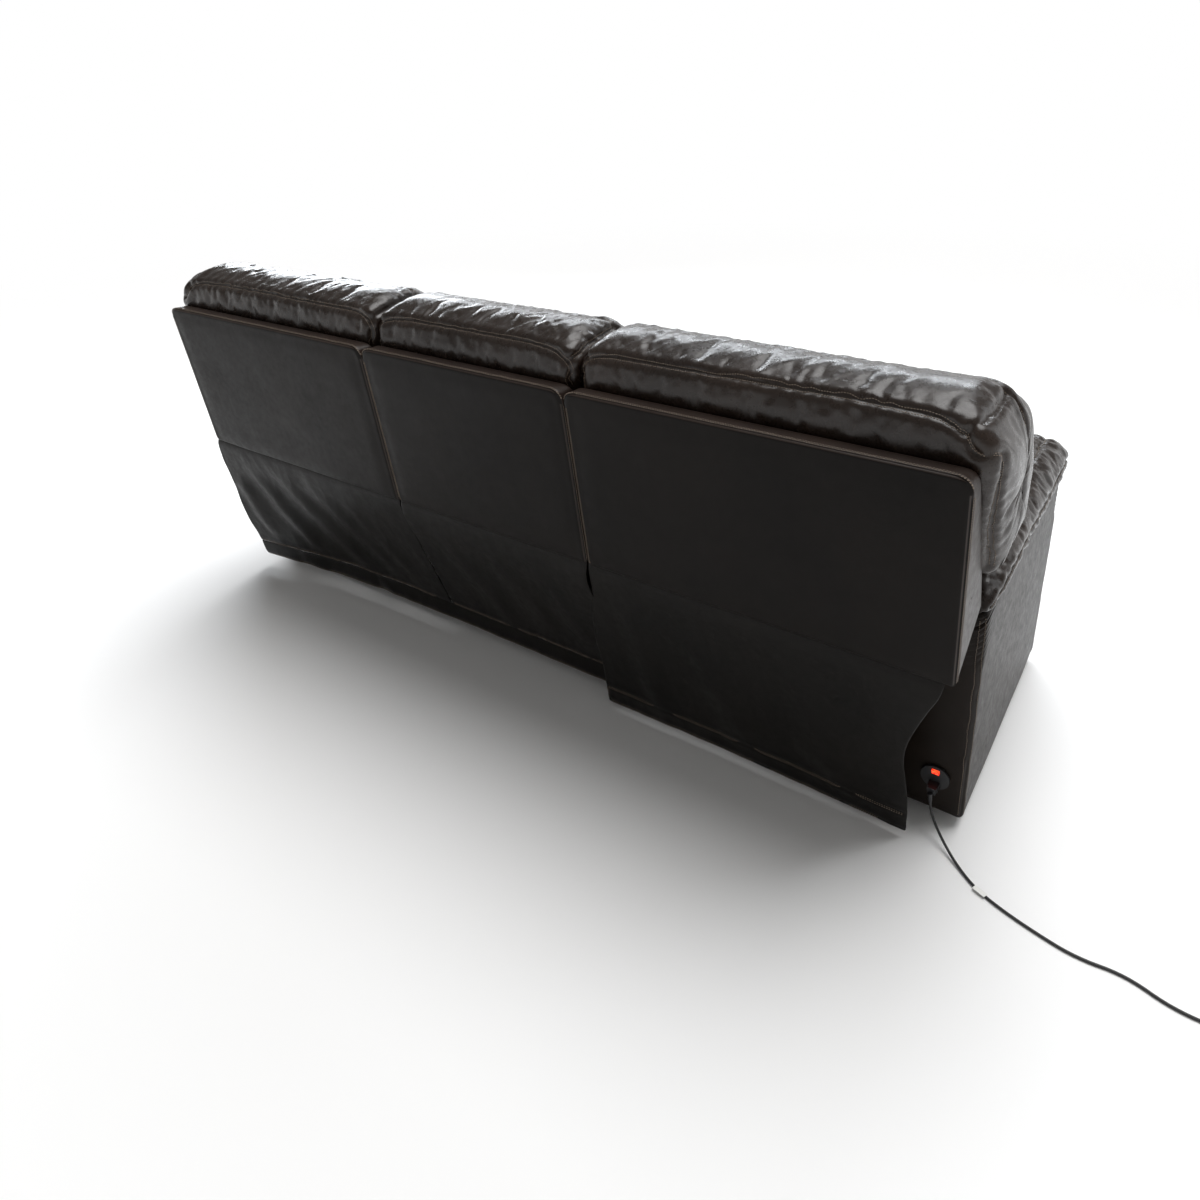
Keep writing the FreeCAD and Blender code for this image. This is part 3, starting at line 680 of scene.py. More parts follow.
def coilPoint(turns):  # the coil winds inwards, steps up one layer and winds out again
    total = cordSet["coilTurns"]
    radius = cordSet["outer"] - cordSet["pitch"] * min(turns, total - turns)
    height = cordSet["pitch"] * float(smoothStep((turns - total / 2) / 0.5 + 0.5))
    angle = math.pi / 2 + 2 * math.pi * turns
    grow = 1.0 / math.cos(math.pi / cordSet["coilPoints"]) ** 0.5  # the spline runs inside its points
    return coilCentre + Vector((radius * grow * math.cos(angle), radius * grow * math.sin(angle), height))


def powerCord():
    points = [Vector(p) * mm for p in cordRoute]
    steps = cordSet["coilTurns"] * cordSet["coilPoints"]
    points += [coilPoint(k / cordSet["coilPoints"]) for k in range(steps + 1)]
    points.append(points[-1] + Vector((-cordSet["lead"], 0, 0)))
    curve = bpy.data.curves.new("PowerLead", "CURVE")
    curve.dimensions = "3D"
    spline = curve.splines.new("NURBS")
    spline.points.add(len(points) - 1)
    for target, point in zip(spline.points, points):
        target.co = (*point, 1)
    spline.order_u = 3
    spline.use_endpoint_u = True
    spline.resolution_u = 6
    curve.bevel_depth = cordSet["diameter"] / 2
    curve.bevel_resolution = 4
    curve.use_fill_caps = True
    piece = link("PowerLead", curve)
    curve.materials.append(finish["CordRubber"])
    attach(piece, "base")
    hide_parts("power_cord", "power_cord_coil")


powerCord()
print("power lead laid")

# back cushions; where a setting goes by side, 1 is left, 0 the middle and -1 right
cushionSet = {"marks": [(5, 20), (19, 132), (21, 10)], "inner": 302.0, "outer": 1102.0, "middle": 290.0,
              "armStart": 872.0, "step": 12.0, "outerRound": 34.0, "innerRound": 30.0, "topZ": 1002.0,
              "outerCorner": 92.0, "innerCorner": 46.0, "innerDome": 2.5, "outerDome": 9.0,
              "holdWidth": 0.007, "puffCap": 0.012, "puffGrow": 0.02,
              "boxing": {1: 1.3, 0: 1.2, -1: 0.5}, "gather": {1: 2.4, 0: 2.4, -1: 1.2},
              "crease": {1: 2.4, 0: 2.4, -1: 1.7}}
crownCorners = [(412, 978), (388, 991), (340, 1001), (292, 1001), (262, 997), (236, 989)]
mainSection = crownCorners + [
    (192, 957), (158, 905), (138, 850), (128, 790), (131, 735), (136, 706), (116, 682), (96, 640), (80, 570),
    (77, 505), (80, 488), (278, 493), (280, 574), (430, 903), (426, 945)]
wingSection = crownCorners + [
    (196, 957), (172, 905), (158, 850), (150, 800), (149, 760), (149, 730), (150, 712), (152, 696),
    (156, 682), (166, 673), (188, 669), (250, 658), (306, 650), (430, 903), (426, 945)]
endSeams = [  # the rear seam, the front seam, two across the crown, one across the front; left side
    [(300, 437, 892), (301, 431, 915), (305, 424, 940), (318, 416, 962), (345, 413, 972), (392, 412, 976),
     (544, 412, 978), (731, 412, 980), (850, 412, 981), (930, 412, 979), (985, 410, 974), (1018, 405, 964),
     (1045, 399, 946), (1067, 393, 921), (1080, 388, 890), (1087, 380, 857), (1091, 373, 819),
     (1094, 362, 766), (1095, 345, 715), (1095, 325, 668)],
    [(302, 250, 960), (310, 258, 982), (340, 262, 994), (420, 262, 998), (700, 262, 1000), (940, 262, 998),
     (1000, 262, 988), (1045, 262, 962), (1078, 262, 925), (1094, 262, 880), (1102, 262, 830),
     (1106, 255, 760), (1106, 240, 690)],
    [(1046, 398, 946), (1052, 345, 955), (1050, 262, 958)],
    [(312, 417, 960), (312, 345, 975), (314, 262, 984)],
    [(302, 128, 706), (320, 128, 706), (600, 128, 706), (850, 128, 706), (866, 128, 706)]]
middleSeams = [  # the rear seam, one across each end of the crown, the front seam, one across the front
    [(290, 437, 892), (289, 431, 915), (285, 424, 938), (272, 416, 957), (240, 413, 970), (180, 412, 976),
     (60, 412, 978), (-60, 412, 977), (-180, 412, 974), (-240, 413, 967), (-270, 416, 953), (-284, 424, 936),
     (-289, 431, 915), (-290, 437, 892)],
    [(-276, 416, 955), (-280, 345, 972), (-278, 262, 980)],
    [(276, 416, 955), (280, 345, 972), (278, 262, 980)],
    [(-288, 250, 958), (-280, 260, 978), (-250, 262, 994), (250, 262, 994), (280, 260, 978), (288, 250, 958)],
    [(-288, 128, 706), (0, 128, 706), (288, 128, 706)]]


def cushionShape(name, side):
    c = cushionSet
    main, wing = (softened(sectionOf(corners, c["marks"]), 2) for corners in (mainSection, wingSection))
    if side:
        ends, corners = (c["inner"], c["outer"]), (c["innerCorner"], c["outerCorner"])
        rounds, domes = (c["innerRound"], c["outerRound"]), (c["innerDome"], c["outerDome"])
    else:
        ends, corners = (-c["middle"], c["middle"]), (c["innerCorner"],) * 2
        rounds, domes = (c["innerRound"],) * 2, (c["innerDome"],) * 2

    def section(t):
        share = smoothStep(np.array((t - c["armStart"]) / c["step"] + 0.5)) if side else 0.0
        return main * (1 - share) + wing * share

    piece = padForm(name, section, ends, rounds, domes)
    points = coords(piece) / mm
    for end, radius, towards in zip(ends, corners, (-1, 1)):
        points = cornerRound(points, end, c["topZ"], radius, towards)
    setCoords(piece, points * mm)
    return mirrored(piece, side or 1)


def backCushion(name, side, nodes, body, seed):
    c = cushionSet
    piece = cushionShape(name, side)
    seams = [ofSide(line, side) for line in endSeams] if side else middleSeams
    held = heldNear(piece, treeOf(piece), seams, c["holdWidth"])
    x, y, z = coords(piece).T
    rests = (y > 0.30) & (z < 0.90) & (np.abs(x) < 1.07)  # against the board behind it
    held[rests | (z < 0.50) | (np.abs(np.abs(x) - 0.296) < 0.012)] = 1.0
    puffed(piece, c["puffCap"], c["puffGrow"], held)
    finer(piece)
    points = coords(piece)
    x, y, z = points.T
    crown = smoothStep((z - 0.93) / 0.04) * smoothStep((y - 0.16) / 0.06)
    soft = smoothStep((z - 0.60) / 0.1) * smoothStep((np.abs(np.abs(x) - 0.296) - 0.008) / 0.02)
    gathers = smoothStep(field(points, np.array([5.0, 4.0, 3.0]), seed + 2) * 1.5 + 0.45)
    boxing = soft * (1 - crown) * c["boxing"][side]
    rumpled(piece, c["crease"][side], np.array([6.0, 30.0, 3.0]), seed, crown * (0.25 + 0.75 * gathers), 0.75)
    rumpled(piece, 1.1, np.array([10.0, 46.0, 5.0]), seed + 3, crown * gathers, -0.5)
    rumpled(piece, 1.6, np.array([4.0, 9.0, 3.0]), seed + 7, boxing, 0.3)
    seamed(piece, body, seams, (5.0, -5.0), threaded=2, gather=c["gather"][side], seed=seed)
    finished(piece, body, "leather_cushion", nodes)


backCushion("LeftBackCushion", 1, ["left_back_cushion"], "left_back", 3)
backCushion("RightBackCushion", -1, ["right_back_cushion"], "right_back", 17)
backCushion("MiddleBackCushion", 0, ["middle_back_cushion"], "base", 29)

# back panels
panelSet = {"edge": 7.0, "corner": 26.0, "end": 1079.0, "inner": 296.5, "middle": 293.5, "spacing": 11.0,
            "low": 480.0, "high": 910.0, "rearLow": 419.0, "rearHigh": 480.0, "crown": 3.4, "sink": 2.4,
            "rows": (-4.0, -9.5)}
panelCorners = [(419.0, 480.0), (480.0, 910.0), (434.0, 908.0), (341.0, 727.0), (280.0, 576.0)]
topSeam = [(1.5, 476, 884), (3, 476.5, 894), (8, 477, 903), (18, 477, 908.5)]  # x is from the panel's end


def panelRear(z):
    p = panelSet
    return p["rearLow"] + (p["rearHigh"] - p["rearLow"]) * (z - p["low"]) / (p["high"] - p["low"])


def panelSeams(a, b):
    r, top = panelSet["corner"], panelSet["high"]
    turn = topSeam + [(r + 6, 476, top)]
    run = [(x, 476, top) for x in np.linspace(a + r + 20, b - r - 20, 12)]
    sides = [[(x, panelRear(z) - 3, z) for z in (486, 600, 700, 800, 880)] for x in (b - 1.5, a + 1.5)]
    return sides + [[(a + x, y, z) for x, y, z in turn] + run + [(b - x, y, z) for x, y, z in turn[::-1]]]


def backPanel(name, ends, nodes, body, seed):
    p = panelSet
    outline = filleted(panelCorners, p["edge"])
    piece = padForm(name, lambda t: outline, ends, (p["edge"],) * 2, (1.0, 1.0), spacing=p["spacing"])
    points = coords(piece) / mm
    for end, towards in ((ends[1], 1), (ends[0], -1)):
        points = cornerRound(points, end, p["high"], p["corner"], towards)
    x, y, z = points.T
    lean = (z - p["low"]) / (p["high"] - p["low"])
    rear = smoothStep((y - panelRear(z) + 9.0) / 8.0)
    across = np.clip(1 - np.abs(x - sum(ends) / 2) / ((ends[1] - ends[0]) / 2), 0, 1)
    crown = p["crown"] * smoothStep(across / 0.14) * smoothStep(lean / 0.08) * smoothStep((1 - lean) / 0.10)
    waves = (field(points, np.array([0.006, 0.0, 0.008]), seed) * 1.6
             + field(points, np.array([0.016, 0.0, 0.02]), seed + 4) * 0.5)
    waves *= smoothStep(across / 0.1) * smoothStep((1 - lean) / 0.1)
    points[:, 1] += rear * (crown - p["sink"] + waves)
    setCoords(piece, points * mm)
    finer(piece)
    seamed(piece, body, panelSeams(*ends), p["rows"], depth=1.6, width=2.6, gather=0.25, pitch=26.0,
           reach=14.0, seed=seed)
    finished(piece, body, "leather_panel", nodes)
    piece.data.materials.append(finish["BandLeather"])
    for face in piece.data.polygons:  # the strip sewn round the rear face
        face.material_index = 1 if face.normal.z > 0.45 or abs(face.normal.x) > 0.6 else 0


endPanel = (panelSet["inner"], panelSet["end"])
backPanel("LeftBackPanel", endPanel, ["left_back_panel"], "left_back", 5)
backPanel("RightBackPanel", (-endPanel[1], -endPanel[0]), ["right_back_panel"], "right_back", 9)
backPanel("MiddleBackPanel", (-panelSet["middle"], panelSet["middle"]), ["middle_back_panel"], "base", 13)

# loose leather below the backs; each row is (z, [(x, y)...]), each fold (top x, z, low x, z, width, depth)
sheetSet = {"thickness": 2.4, "spacing": 9.0, "ease": 1.01, "crease": 0.0022, "wave": 0.0012}
flapSet = {
    "LeftBackFlap": {
        "nodes": ["left_back_flap"], "bodies": ("left_back", "base"), "hangs": "LeftBackPanel", "seed": 41,
        "rows": [(490, [(295, 413), (690, 413), (1077, 413)]), (476, [(295, 415), (690, 415), (1081, 416)]),
                 (455, [(295, 409), (690, 411), (1085, 414)]), (340, [(295, 367), (690, 372), (1085, 393)]),
                 (200, [(295, 313), (690, 322), (1085, 366)]), (98, [(295, 274), (690, 284), (1085, 334)])],
        "folds": [(960, 430, 800, 130, 34, 8), (840, 450, 610, 120, 40, 9), (700, 440, 470, 150, 36, 7),
                  (560, 420, 400, 170, 30, 5), (1050, 380, 980, 150, 30, 6)],
        "seams": [[(297, 276, 104), (690, 287, 104), (1083, 336, 104)]]},
    "MiddleBackFlap": {
        "nodes": ["middle_back_flap"], "bodies": ("base",), "hangs": "MiddleBackPanel", "seed": 43,
        "rows": [(490, [(-293, 413), (0, 413), (293, 413)]), (476, [(-292, 415), (0, 415), (293, 415)]),
                 (455, [(-289, 413), (0, 411), (293, 412)]), (330, [(-287, 364), (0, 362), (293, 364)]),
                 (180, [(-262, 304), (20, 302), (293, 305)]), (98, [(-251, 273), (20, 273), (293, 273)])],
        "folds": [(200, 430, 60, 120, 36, 6), (40, 440, -90, 130, 40, 5), (-120, 420, -200, 160, 34, 5)],
        "seams": [[(-249, 276, 104), (20, 276, 104), (291, 276, 104)]]},
    "RightBackFlap": {
        "nodes": ["right_back_flap"], "bodies": ("right_back", "base"), "hangs": "RightBackPanel", "seed": 47,
        "rows": [(490, [(-1062, 413), (-680, 413), (-296, 413)]),
                 (476, [(-1060, 416), (-675, 415), (-296, 415)]),
                 (455, [(-1056, 414), (-670, 412), (-295, 411)]),
                 (399, [(-1035, 400), (-660, 394), (-285, 393)]),
                 (258, [(-994, 362), (-640, 356), (-258, 353)]),
                 (115, [(-1002, 330), (-640, 322), (-258, 319)]),
                 (18, [(-1000, 309), (-640, 300), (-256, 300)])],
        "folds": [(-360, 440, -420, 60, 30, 5), (-520, 420, -640, 60, 44, 5), (-760, 430, -860, 60, 46, 5)],
        "seams": [[(-998, 310, 24), (-640, 301, 24), (-258, 301, 24)],
                  [(-999, 323, 72), (-640, 312, 72), (-258, 311, 72)], [(-260, 302, 26), (-261, 311, 70)]]},
    "RearHem": {
        "nodes": ["rear_hem"], "bodies": ("base",), "hangs": "LeftBackFlap", "seed": 51,
        "rows": [(98, [(-251, 273), (295, 274), (690, 284), (1085, 334)]),
                 (70, [(-250, 271), (295, 272), (690, 283), (1085, 328)]),
                 (42, [(-249, 268), (295, 269), (690, 278), (1085, 319)])],
        "folds": [(930, 98, 820, 42, 26, 5), (600, 98, 520, 42, 22, 4)],
        "seams": [[(-247, 270, 47), (295, 271, 47), (690, 281, 47), (1083, 322, 47)]]}}


def folded(points, folds):  # how far each point stands out of the sheet along its diagonal folds
    depth = np.zeros(len(points))
    for xTop, zTop, xLow, zLow, wide, deep in folds:
        run = np.array([xLow - xTop, zLow - zTop], float)
        length = np.linalg.norm(run)
        run /= length
        rel = points[:, [0, 2]] - np.array([xTop, zTop])
        along, side = rel @ run, rel @ np.array([-run[1], run[0]])
        fade = smoothStep(along / (0.3 * length)) * smoothStep((length * 1.15 - along) / (0.35 * length))
        dip = np.exp(-((side - wide * 1.5) / wide) ** 2)
        depth += deep * fade * (np.exp(-(side / wide) ** 2) - 0.5 * dip)
    return depth


def hungSheet(name, rows, folds):
    heights = np.array([z for z, _ in rows], float)
    width = abs(rows[0][1][-1][0] - rows[0][1][0][0])
    nu = max(8, int(width / sheetSet["spacing"]))
    nv = max(5, int((heights[0] - heights[-1]) / sheetSet["spacing"]))
    u = np.linspace(0, 1, nu)
    lanes = []
    for _, spots in rows:
        spots = np.array(spots, float)
        at = np.linspace(0, 1, len(spots))
        lanes.append(np.column_stack([np.interp(u, at, spots[:, 0]), curveThrough(at, spots[:, 1], u)]))
    lanes = np.array(lanes)
    z = np.linspace(heights[0], heights[-1], nv)
    points = np.zeros((nv, nu, 3))
    for k in range(nu):
        points[:, k, :2] = curveThrough(-heights, lanes[:, k], -z)
    points[:, :, 2] = z[:, None]
    flat = points.reshape(-1, 3)
    flat[:, 1] += folded(flat, folds)
    faces = [(i * nu + j, i * nu + j + 1, (i + 1) * nu + j + 1, (i + 1) * nu + j)
             for i in range(nv - 1) for j in range(nu - 1)]
    piece = meshPiece(name, flat * mm, faces)
    if normals(piece)[:, 1].mean() < 0:
        piece.data.flip_normals()
    skin = piece.modifiers.new("Skin", "SOLIDIFY")
    skin.thickness = sheetSet["thickness"] * mm
    skin.offset = -1.0
    applied(piece)
    return finer(piece)


def flatSize(rows):  # the widest row by the length down the middle, with a little ease
    def length(points):
        return float(np.linalg.norm(np.diff(np.array(points, float), axis=0), axis=1).sum())
    down = [(spots[len(spots) // 2][1], z) for z, spots in rows]
    across = max(length(spots) for _, spots in rows)
    return tuple(round(size * sheetSet["ease"] * mm, 3) for size in (across, length(down)))


def flap(name, nodes, bodies, hangs, seed, rows, folds, seams):
    piece = hungSheet(name, rows, folds)
    points = coords(piece)
    loose = smoothStep((rows[0][0] * mm - points[:, 2]) / 0.05)
    points[:, 1] += (creased(points, np.array([7.0, 0.0, 3.5]), seed) * sheetSet["crease"]
                     + field(points, np.array([18.0, 0.0, 13.0]), seed + 2) * sheetSet["wave"]) * loose
    setCoords(piece, points)
    seamed(piece, bodies[-1], seams, (0.0, 4.5), depth=1.2, width=3.0, gather=0.8, pitch=20.0, reach=20.0,
           seed=seed)
    finished(piece, None, "leather_skirt", nodes)
    if len(bodies) == 2:  # on the sofa the top goes with the reclining back and the lower end stays; this piece is left in place, attached to no body
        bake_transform(piece)
    else:
        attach(piece, bodies[0])
    flatSize(rows)


for name, values in flapSet.items():
    flap(name, **values)

# arms
armSet = {"inner": 880.0, "outer": 1088.0, "front": -458.0, "rear": 227.0, "lean": 36.0 / 531.0, "low": 25.0,
          "top": 541.0, "edge": 12.0, "bulge": 4.5, "uneven": 0.0012, "rows": (8.0, -8.0)}
seamHeights = (30, 120, 240, 360, 480, 536)


def rectangle(x0, x1, y0, y1, radius, bulge):
    line = filleted([(x0, y0), (x1, y0), (x1, y1), (x0, y1)], radius, step=16.0)
    middle = np.array([(x0 + x1) / 2, (y0 + y1) / 2])
    half = np.array([(x1 - x0) / 2, (y1 - y0) / 2])
    x, y = ((line - middle) / half).T
    line[:, 0] += bulge * np.where(np.abs(x) > 0.93, np.sign(x) * (1 - y ** 2), 0)
    line[:, 1] += bulge * 0.6 * np.where(np.abs(y) > 0.97, np.sign(y) * (1 - x ** 2), 0)
    return line


def armCover(name, side, nodes, seed):
    a = armSet

    def rearAt(z):
        return a["rear"] + a["lean"] * (z - a["low"])

    def section(z):
        fade = math.sin(math.pi * min(max((z - a["low"]) / (a["top"] - a["low"]), 0), 1)) ** 0.5
        return rectangle(a["inner"], a["outer"], a["front"], rearAt(z), a["edge"], a["bulge"] * fade)

    ends = (a["low"], a["top"])
    piece = padForm(name, section, ends, (8.0, 8.0), (0.0, 0.0), spacing=14.0, order=(1, 2, 0))
    mirrored(piece, side)
    points = coords(piece)
    points[:, 1] += a["uneven"] * field(points, np.array([9.0, 3.0, 6.0]), seed)
    points[:, 0] += a["uneven"] * field(points, np.array([3.0, 6.0, 6.0]), seed + 1)
    setCoords(piece, points)
    finer(piece)
    seams = [ofSide([(a["outer"] + 1.0, rearAt(z) + 1.0, z) for z in seamHeights], side)]
    seams += [ofSide([(x, a["front"], z) for z in seamHeights], side) for x in (a["outer"], a["inner"])]
    seamed(piece, "base", seams, a["rows"], depth=2.2, width=3.4, gather=0.5, pitch=30.0, reach=16.0,
           seed=seed)
    finished(piece, "base", "leather_panel", nodes, material="ArmLeather")


armCover("LeftArmCover", 1, ["left_arm_cover"], 61)
armCover("RightArmCover", -1, ["right_arm_cover"], 67)

armPadSet = {"ends": (-466.0, 262.0), "rounds": (26.0, 22.0), "domes": (8.0, 6.0), "low": 541.5,
             "inner": 882.0, "outer": 1086.0, "points": 69, "holdWidth": 0.006, "puffCap": 0.009,
             "puffGrow": 0.03}
padStations = [(-466.0, 600.0, 0.2), (-446.0, 628.0, 0.6), (-405.0, 643.0, 0.9), (-300.0, 650.0, 1.0),
               (-180.0, 652.0, 1.0), (50.0, 648.0, 1.0), (120.0, 635.0, 1.0), (170.0, 618.0, 0.9),
               (225.0, 590.0, 0.7), (258.0, 568.0, 0.5)]  # y, top, how far the sides swell
padTurn = np.array([[0.8, 0.6, 0], [-0.6, 0.8, 0], [0, 0, 1.0]])  # the long folds run askew


def padSection(y):
    keys, tops, swells = np.array(padStations).T
    top, swell = float(np.interp(y, keys, tops)), float(np.interp(y, keys, swells))
    low, x0, x1 = armPadSet["low"], armPadSet["inner"], armPadSet["outer"]
    outline = [(x0 + 6, 0), (x1 - 6, 0), (x1 + 4, 0.16), (x1 + 14 * swell + 2, 0.42), (x1 + 10 * swell, 0.66),
               (x1 - 14, 0.9), (x1 - 52, 0.985), (x1 - 104, 1), (x0 + 52, 0.985), (x0 + 16, 0.9),
               (x0 + 1, 0.66), (x0 - 1, 0.35), (x0 + 1, 0.12)]
    return ringOf([(x, low + (top - low) * share) for x, share in outline], armPadSet["points"], 3)


def armPad(name, side, nodes, seed):
    a = armPadSet
    piece = padForm(name, padSection, a["ends"], a["rounds"], a["domes"], order=(1, 0, 2))
    mirrored(piece, side)
    seams = [ofSide([(x, y, a["low"] + (top - a["low"]) * share) for y, top, _ in padStations], side)
             for x, share in ((1100, 0.48), (880, 0.5), (1046, 1.0))]
    held = heldNear(piece, treeOf(piece), seams, a["holdWidth"])
    held[coords(piece)[:, 2] < 0.548] = 1.0
    puffed(piece, a["puffCap"], a["puffGrow"], held)
    finer(piece)
    points = coords(piece)
    loose = smoothStep((points[:, 2] - 0.55) / 0.03)
    folds = creased(points @ padTurn, np.array([26.0, 9.0, 14.0]), seed) * 2.6
    small = creased(points, np.array([30.0, 24.0, 30.0]), seed + 5)
    pushed(piece, (folds + small) * loose)
    seamed(piece, "base", seams, (4.5,), depth=3.6, width=4.2, gather=2.0, pitch=30.0, seed=seed)
    finished(piece, "base", "leather_cushion", nodes)


armPad("LeftArmPad", 1, ["left_arm_pad"], 71)
armPad("RightArmPad", -1, ["right_arm_pad"], 73)

# seats and front; the places are (from x, to x)
seatSet = {"points": 151, "rounds": (26.0, 26.0), "domes": (2.0, 2.0), "holdWidth": 0.007, "puffCap": 0.014,
           "puffGrow": 0.02}
seatCorners = [(-440, 347), (58, 347), (74, 372), (78, 430), (79, 470), (79, 489), (62, 497), (-120, 497),
               (-300, 499), (-400, 494), (-446, 470), (-466, 430), (-470, 392), (-462, 362)]
seatEdge = [(4, 40, 478), (6, -100, 486), (8, -300, 488), (9, -400, 482), (12, -446, 462)]  # x from the end
places = {"left": (300.0, 868.0), "right": (-868.0, -300.0), "middle": (-290.0, 290.0)}


def seatCushion(name, ends, nodes, body, seed):
    s = seatSet
    a, b = ends
    ring = ringOf(seatCorners, s["points"], 3)
    piece = padForm(name, lambda t: ring, ends, s["rounds"], s["domes"])
    seams = [[(a + x, y, z) for x, y, z in seatEdge], [(b - x, y, z) for x, y, z in seatEdge],
             [(a + 3, -446, 470), (a + 30, -448, 470), (b - 30, -448, 470), (b - 3, -446, 470)],
             [(a + 6, -180, 496), (a + 40, -180, 497), (b - 40, -180, 497), (b - 6, -180, 496)]]

    def inset(points):
        return np.minimum(points[:, 0] - a * mm, b * mm - points[:, 0])

    held = heldNear(piece, treeOf(piece), seams, s["holdWidth"])
    points = coords(piece)
    held[(points[:, 2] < 0.352) | (inset(points) < 0.003)] = 1.0
    puffed(piece, s["puffCap"], s["puffGrow"], held)
    finer(piece)
    points = coords(piece)
    loose = smoothStep((points[:, 2] - 0.36) / 0.04) * smoothStep((inset(points) + 0.002) / 0.01)
    folds = creased(points, np.array([7.0, 12.0, 9.0]), seed) * 2.2
    small = creased(points, np.array([22.0, 26.0, 20.0]), seed + 3)
    pushed(piece, (folds + small) * loose)
    seamed(piece, body, seams, (5.0,), threaded=3, seed=seed)
    finished(piece, body, "leather_cushion", nodes)


seatCushion("LeftSeatCushion", places["left"], ["left_seat_cushion"], "left_seat", 81)
seatCushion("RightSeatCushion", places["right"], ["right_seat_cushion"], "right_seat", 83)
seatCushion("MiddleSeatCushion", places["middle"], ["middle_seat_cushion"], "base", 87)

frontSet = {"points": 66, "rounds": (9.0, 9.0), "domes": (2.0, 2.0), "seamHeights": (322, 118)}
frontCorners = [(-450, 336), (-468, 334), (-476, 318), (-479, 220), (-476, 122), (-468, 106), (-450, 104),
                (-449, 220)]


def frontPad(name, ends, nodes, body, seed):
    a, b = ends
    ring = ringOf(frontCorners, frontSet["points"], 2)
    piece = padForm(name, lambda t: ring, ends, frontSet["rounds"], frontSet["domes"])
    finer(piece)
    points = coords(piece)
    loose = smoothStep((-0.452 - points[:, 1]) / 0.012)
    folds = creased(points, np.array([8.0, 8.0, 10.0]), seed) * 1.5
    small = creased(points, np.array([24.0, 24.0, 26.0]), seed + 3) * 0.6
    pushed(piece, (folds + small) * loose)
    seams = [[(a + 4, -476, z), (a + 30, -478, z), (b - 30, -478, z), (b - 4, -476, z)]
             for z in frontSet["seamHeights"]]
    seamed(piece, body, seams, (4.0,), depth=2.4, width=3.4, gather=1.2, pitch=26.0, reach=24.0, seed=seed)
    finished(piece, body, "leather_cushion", nodes)


frontPad("LeftFootrestPad", places["left"], ["left_footrest_pad"], "left_footrest", 91)
frontPad("RightFootrestPad", places["right"], ["right_footrest_pad"], "right_footrest", 93)
frontPad("MiddleFrontPanel", places["middle"], ["middle_front_panel"], "base", 97)

stitches()

# camera and light
cameraSet = {"place": (-1.34248, 1.80798, 1.53245), "heading": 36.02, "down": 21.83, "roll": -2.36,
             "focal": 912.52, "centre": (594.17, 415.56), "photo": 1200.0, "sensor": 36.0, "clipEnd": 60.0}
studioSet = {"floorReach": 40.0, "wallHeight": 9.0, "sky": 0.26, "skyColour": (1.0, 0.985, 0.96, 1),
             "sun": 2.6, "sunAngle": 44.0, "sunAim": (0.08, 0.30, -1.0), "pale": 0.93, "clearFrom": 3.2,
             "clearTo": 6.5}
stripSet = {  # place, aimed at, size, power, colour
    "FrontStrip": ((0.6, -2.4, 2.5), (0.2, 0.2, 0.9), (3.6, 0.3), 62, (0.90, 0.95, 1.0)),
    "FarStrip": ((3.3, -1.9, 1.9), (0.6, 0.2, 0.95), (1.6, 0.4), 40, (0.90, 0.95, 1.0)),
    "SideStrip": ((-2.6, -1.4, 2.0), (-0.8, 0.2, 0.8), (0.5, 1.8), 6, (0.93, 0.97, 1.0))}


def photoCamera():
    c = cameraSet
    data = bpy.data.cameras.new("PhotoCamera")
    camera = link("PhotoCamera", data)
    heading, down = math.radians(c["heading"]), math.radians(c["down"])
    level = math.cos(down)
    forward = Vector((math.sin(heading) * level, -math.cos(heading) * level, -math.sin(down)))
    turn = forward.to_track_quat("-Z", "Y").to_matrix() @ Matrix.Rotation(math.radians(c["roll"]), 3, "Z")
    camera.matrix_world = Matrix.Translation(c["place"]) @ turn.to_4x4()
    data.sensor_width = c["sensor"]
    data.lens = data.sensor_width * c["focal"] / c["photo"]
    data.shift_x = 0.5 - c["centre"][0] / c["photo"]
    data.shift_y = c["centre"][1] / c["photo"] - 0.5
    data.clip_end = c["clipEnd"]
    bpy.context.scene.camera = camera


def areaLight(name, place, aim, size, power, colour):
    data = bpy.data.lights.new(name, "AREA")
    data.shape = "RECTANGLE"
    data.size, data.size_y = size
    data.energy = power
    data.color = colour
    lamp = link(name, data)
    lamp.location = place
    lamp.rotation_euler = (Vector(aim) - Vector(place)).to_track_quat("-Z", "Y").to_euler()


def worked(tree, operation, first, second):
    made = node(tree, "ShaderNodeMath", {0: first, 1: second})
    made.operation = operation
    return made.outputs[0]


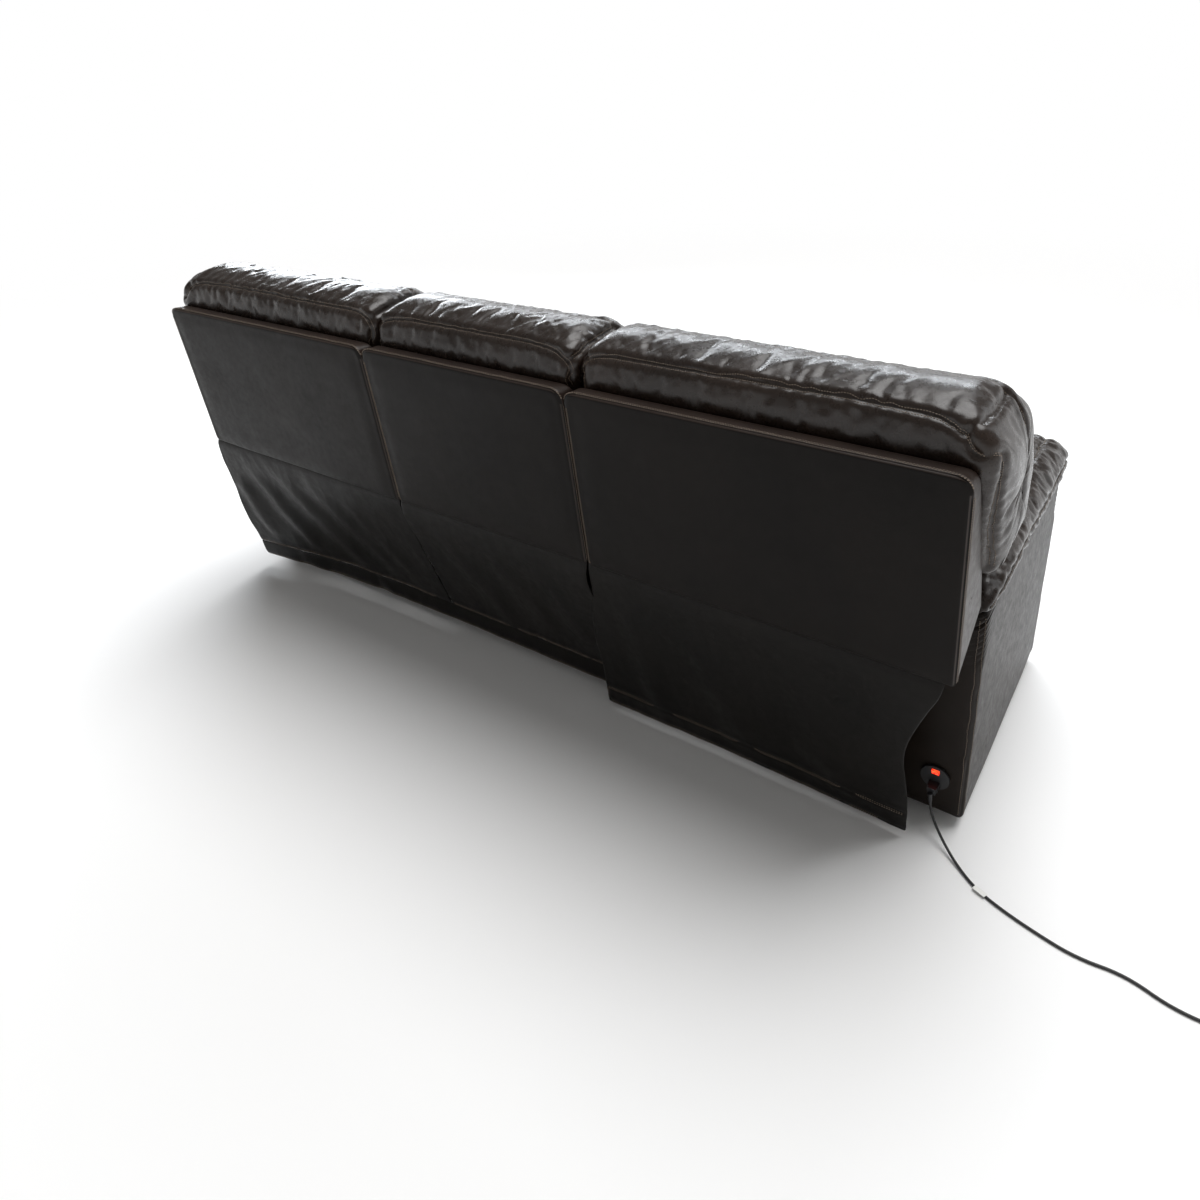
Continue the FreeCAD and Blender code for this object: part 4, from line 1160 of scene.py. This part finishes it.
# pale studio surface, white to the camera: everywhere, or only away from the object and its shadow
def paleFinish(name, always):
    material, tree, shader = newMaterial(name)
    feed(tree, shader, {"Base Color": (studioSet["pale"],) * 3 + (1,), "Roughness": 0.9,
                        "Specular IOR Level": 0.1})
    rays = node(tree, "ShaderNodeLightPath").outputs
    seen = worked(tree, "MAXIMUM", rays["Is Camera Ray"], rays["Is Glossy Ray"])
    seen = worked(tree, "MAXIMUM", seen, rays["Is Transmission Ray"])
    away = node(tree, "ShaderNodeVectorMath", {0: objectPlace(tree)})
    away.operation = "LENGTH"
    least = 1.0 if always else 0.0
    far = spread(tree, away.outputs["Value"], least, 1.0, studioSet["clearFrom"], studioSet["clearTo"])
    white = node(tree, "ShaderNodeEmission")
    mix = node(tree, "ShaderNodeMixShader", {0: worked(tree, "MULTIPLY", seen, far), 1: shader.outputs[0],
                                             2: white.outputs[0]})
    feed(tree, tree.nodes["Material Output"], {0: mix.outputs[0]})
    return material


def studio():
    sun = bpy.data.lights.new("SkyPanel", "SUN")
    sun.energy = studioSet["sun"]
    sun.angle = math.radians(studioSet["sunAngle"])
    lamp = link("SkyPanel", sun)
    lamp.rotation_euler = Vector(studioSet["sunAim"]).to_track_quat("-Z", "Y").to_euler()
    for name, values in stripSet.items():
        areaLight(name, *values)
    world = bpy.data.worlds.new("Studio")
    world.use_nodes = True
    sky = world.node_tree.nodes["Background"]
    sky.inputs[0].default_value = studioSet["skyColour"]
    sky.inputs[1].default_value = studioSet["sky"]
    bpy.context.scene.world = world
    reach, high = studioSet["floorReach"], studioSet["wallHeight"]
    square = [(-reach, -reach, 0), (reach, -reach, 0), (reach, reach, 0), (-reach, reach, 0)]
    floor = meshPiece("StudioFloor", square, [(0, 1, 2, 3)], False)
    dress(floor, paleFinish("StudioFloor", False))
    walls = meshPiece("StudioWalls", square + [(x, y, high) for x, y, _ in square],
                      [(k, k + 4, (k + 1) % 4 + 4, (k + 1) % 4) for k in range(4)], False)
    dress(walls, paleFinish("StudioWalls", True))


photoCamera()
studio()
print("camera and light ready")

bpy.context.scene.view_settings.view_transform = "Standard"
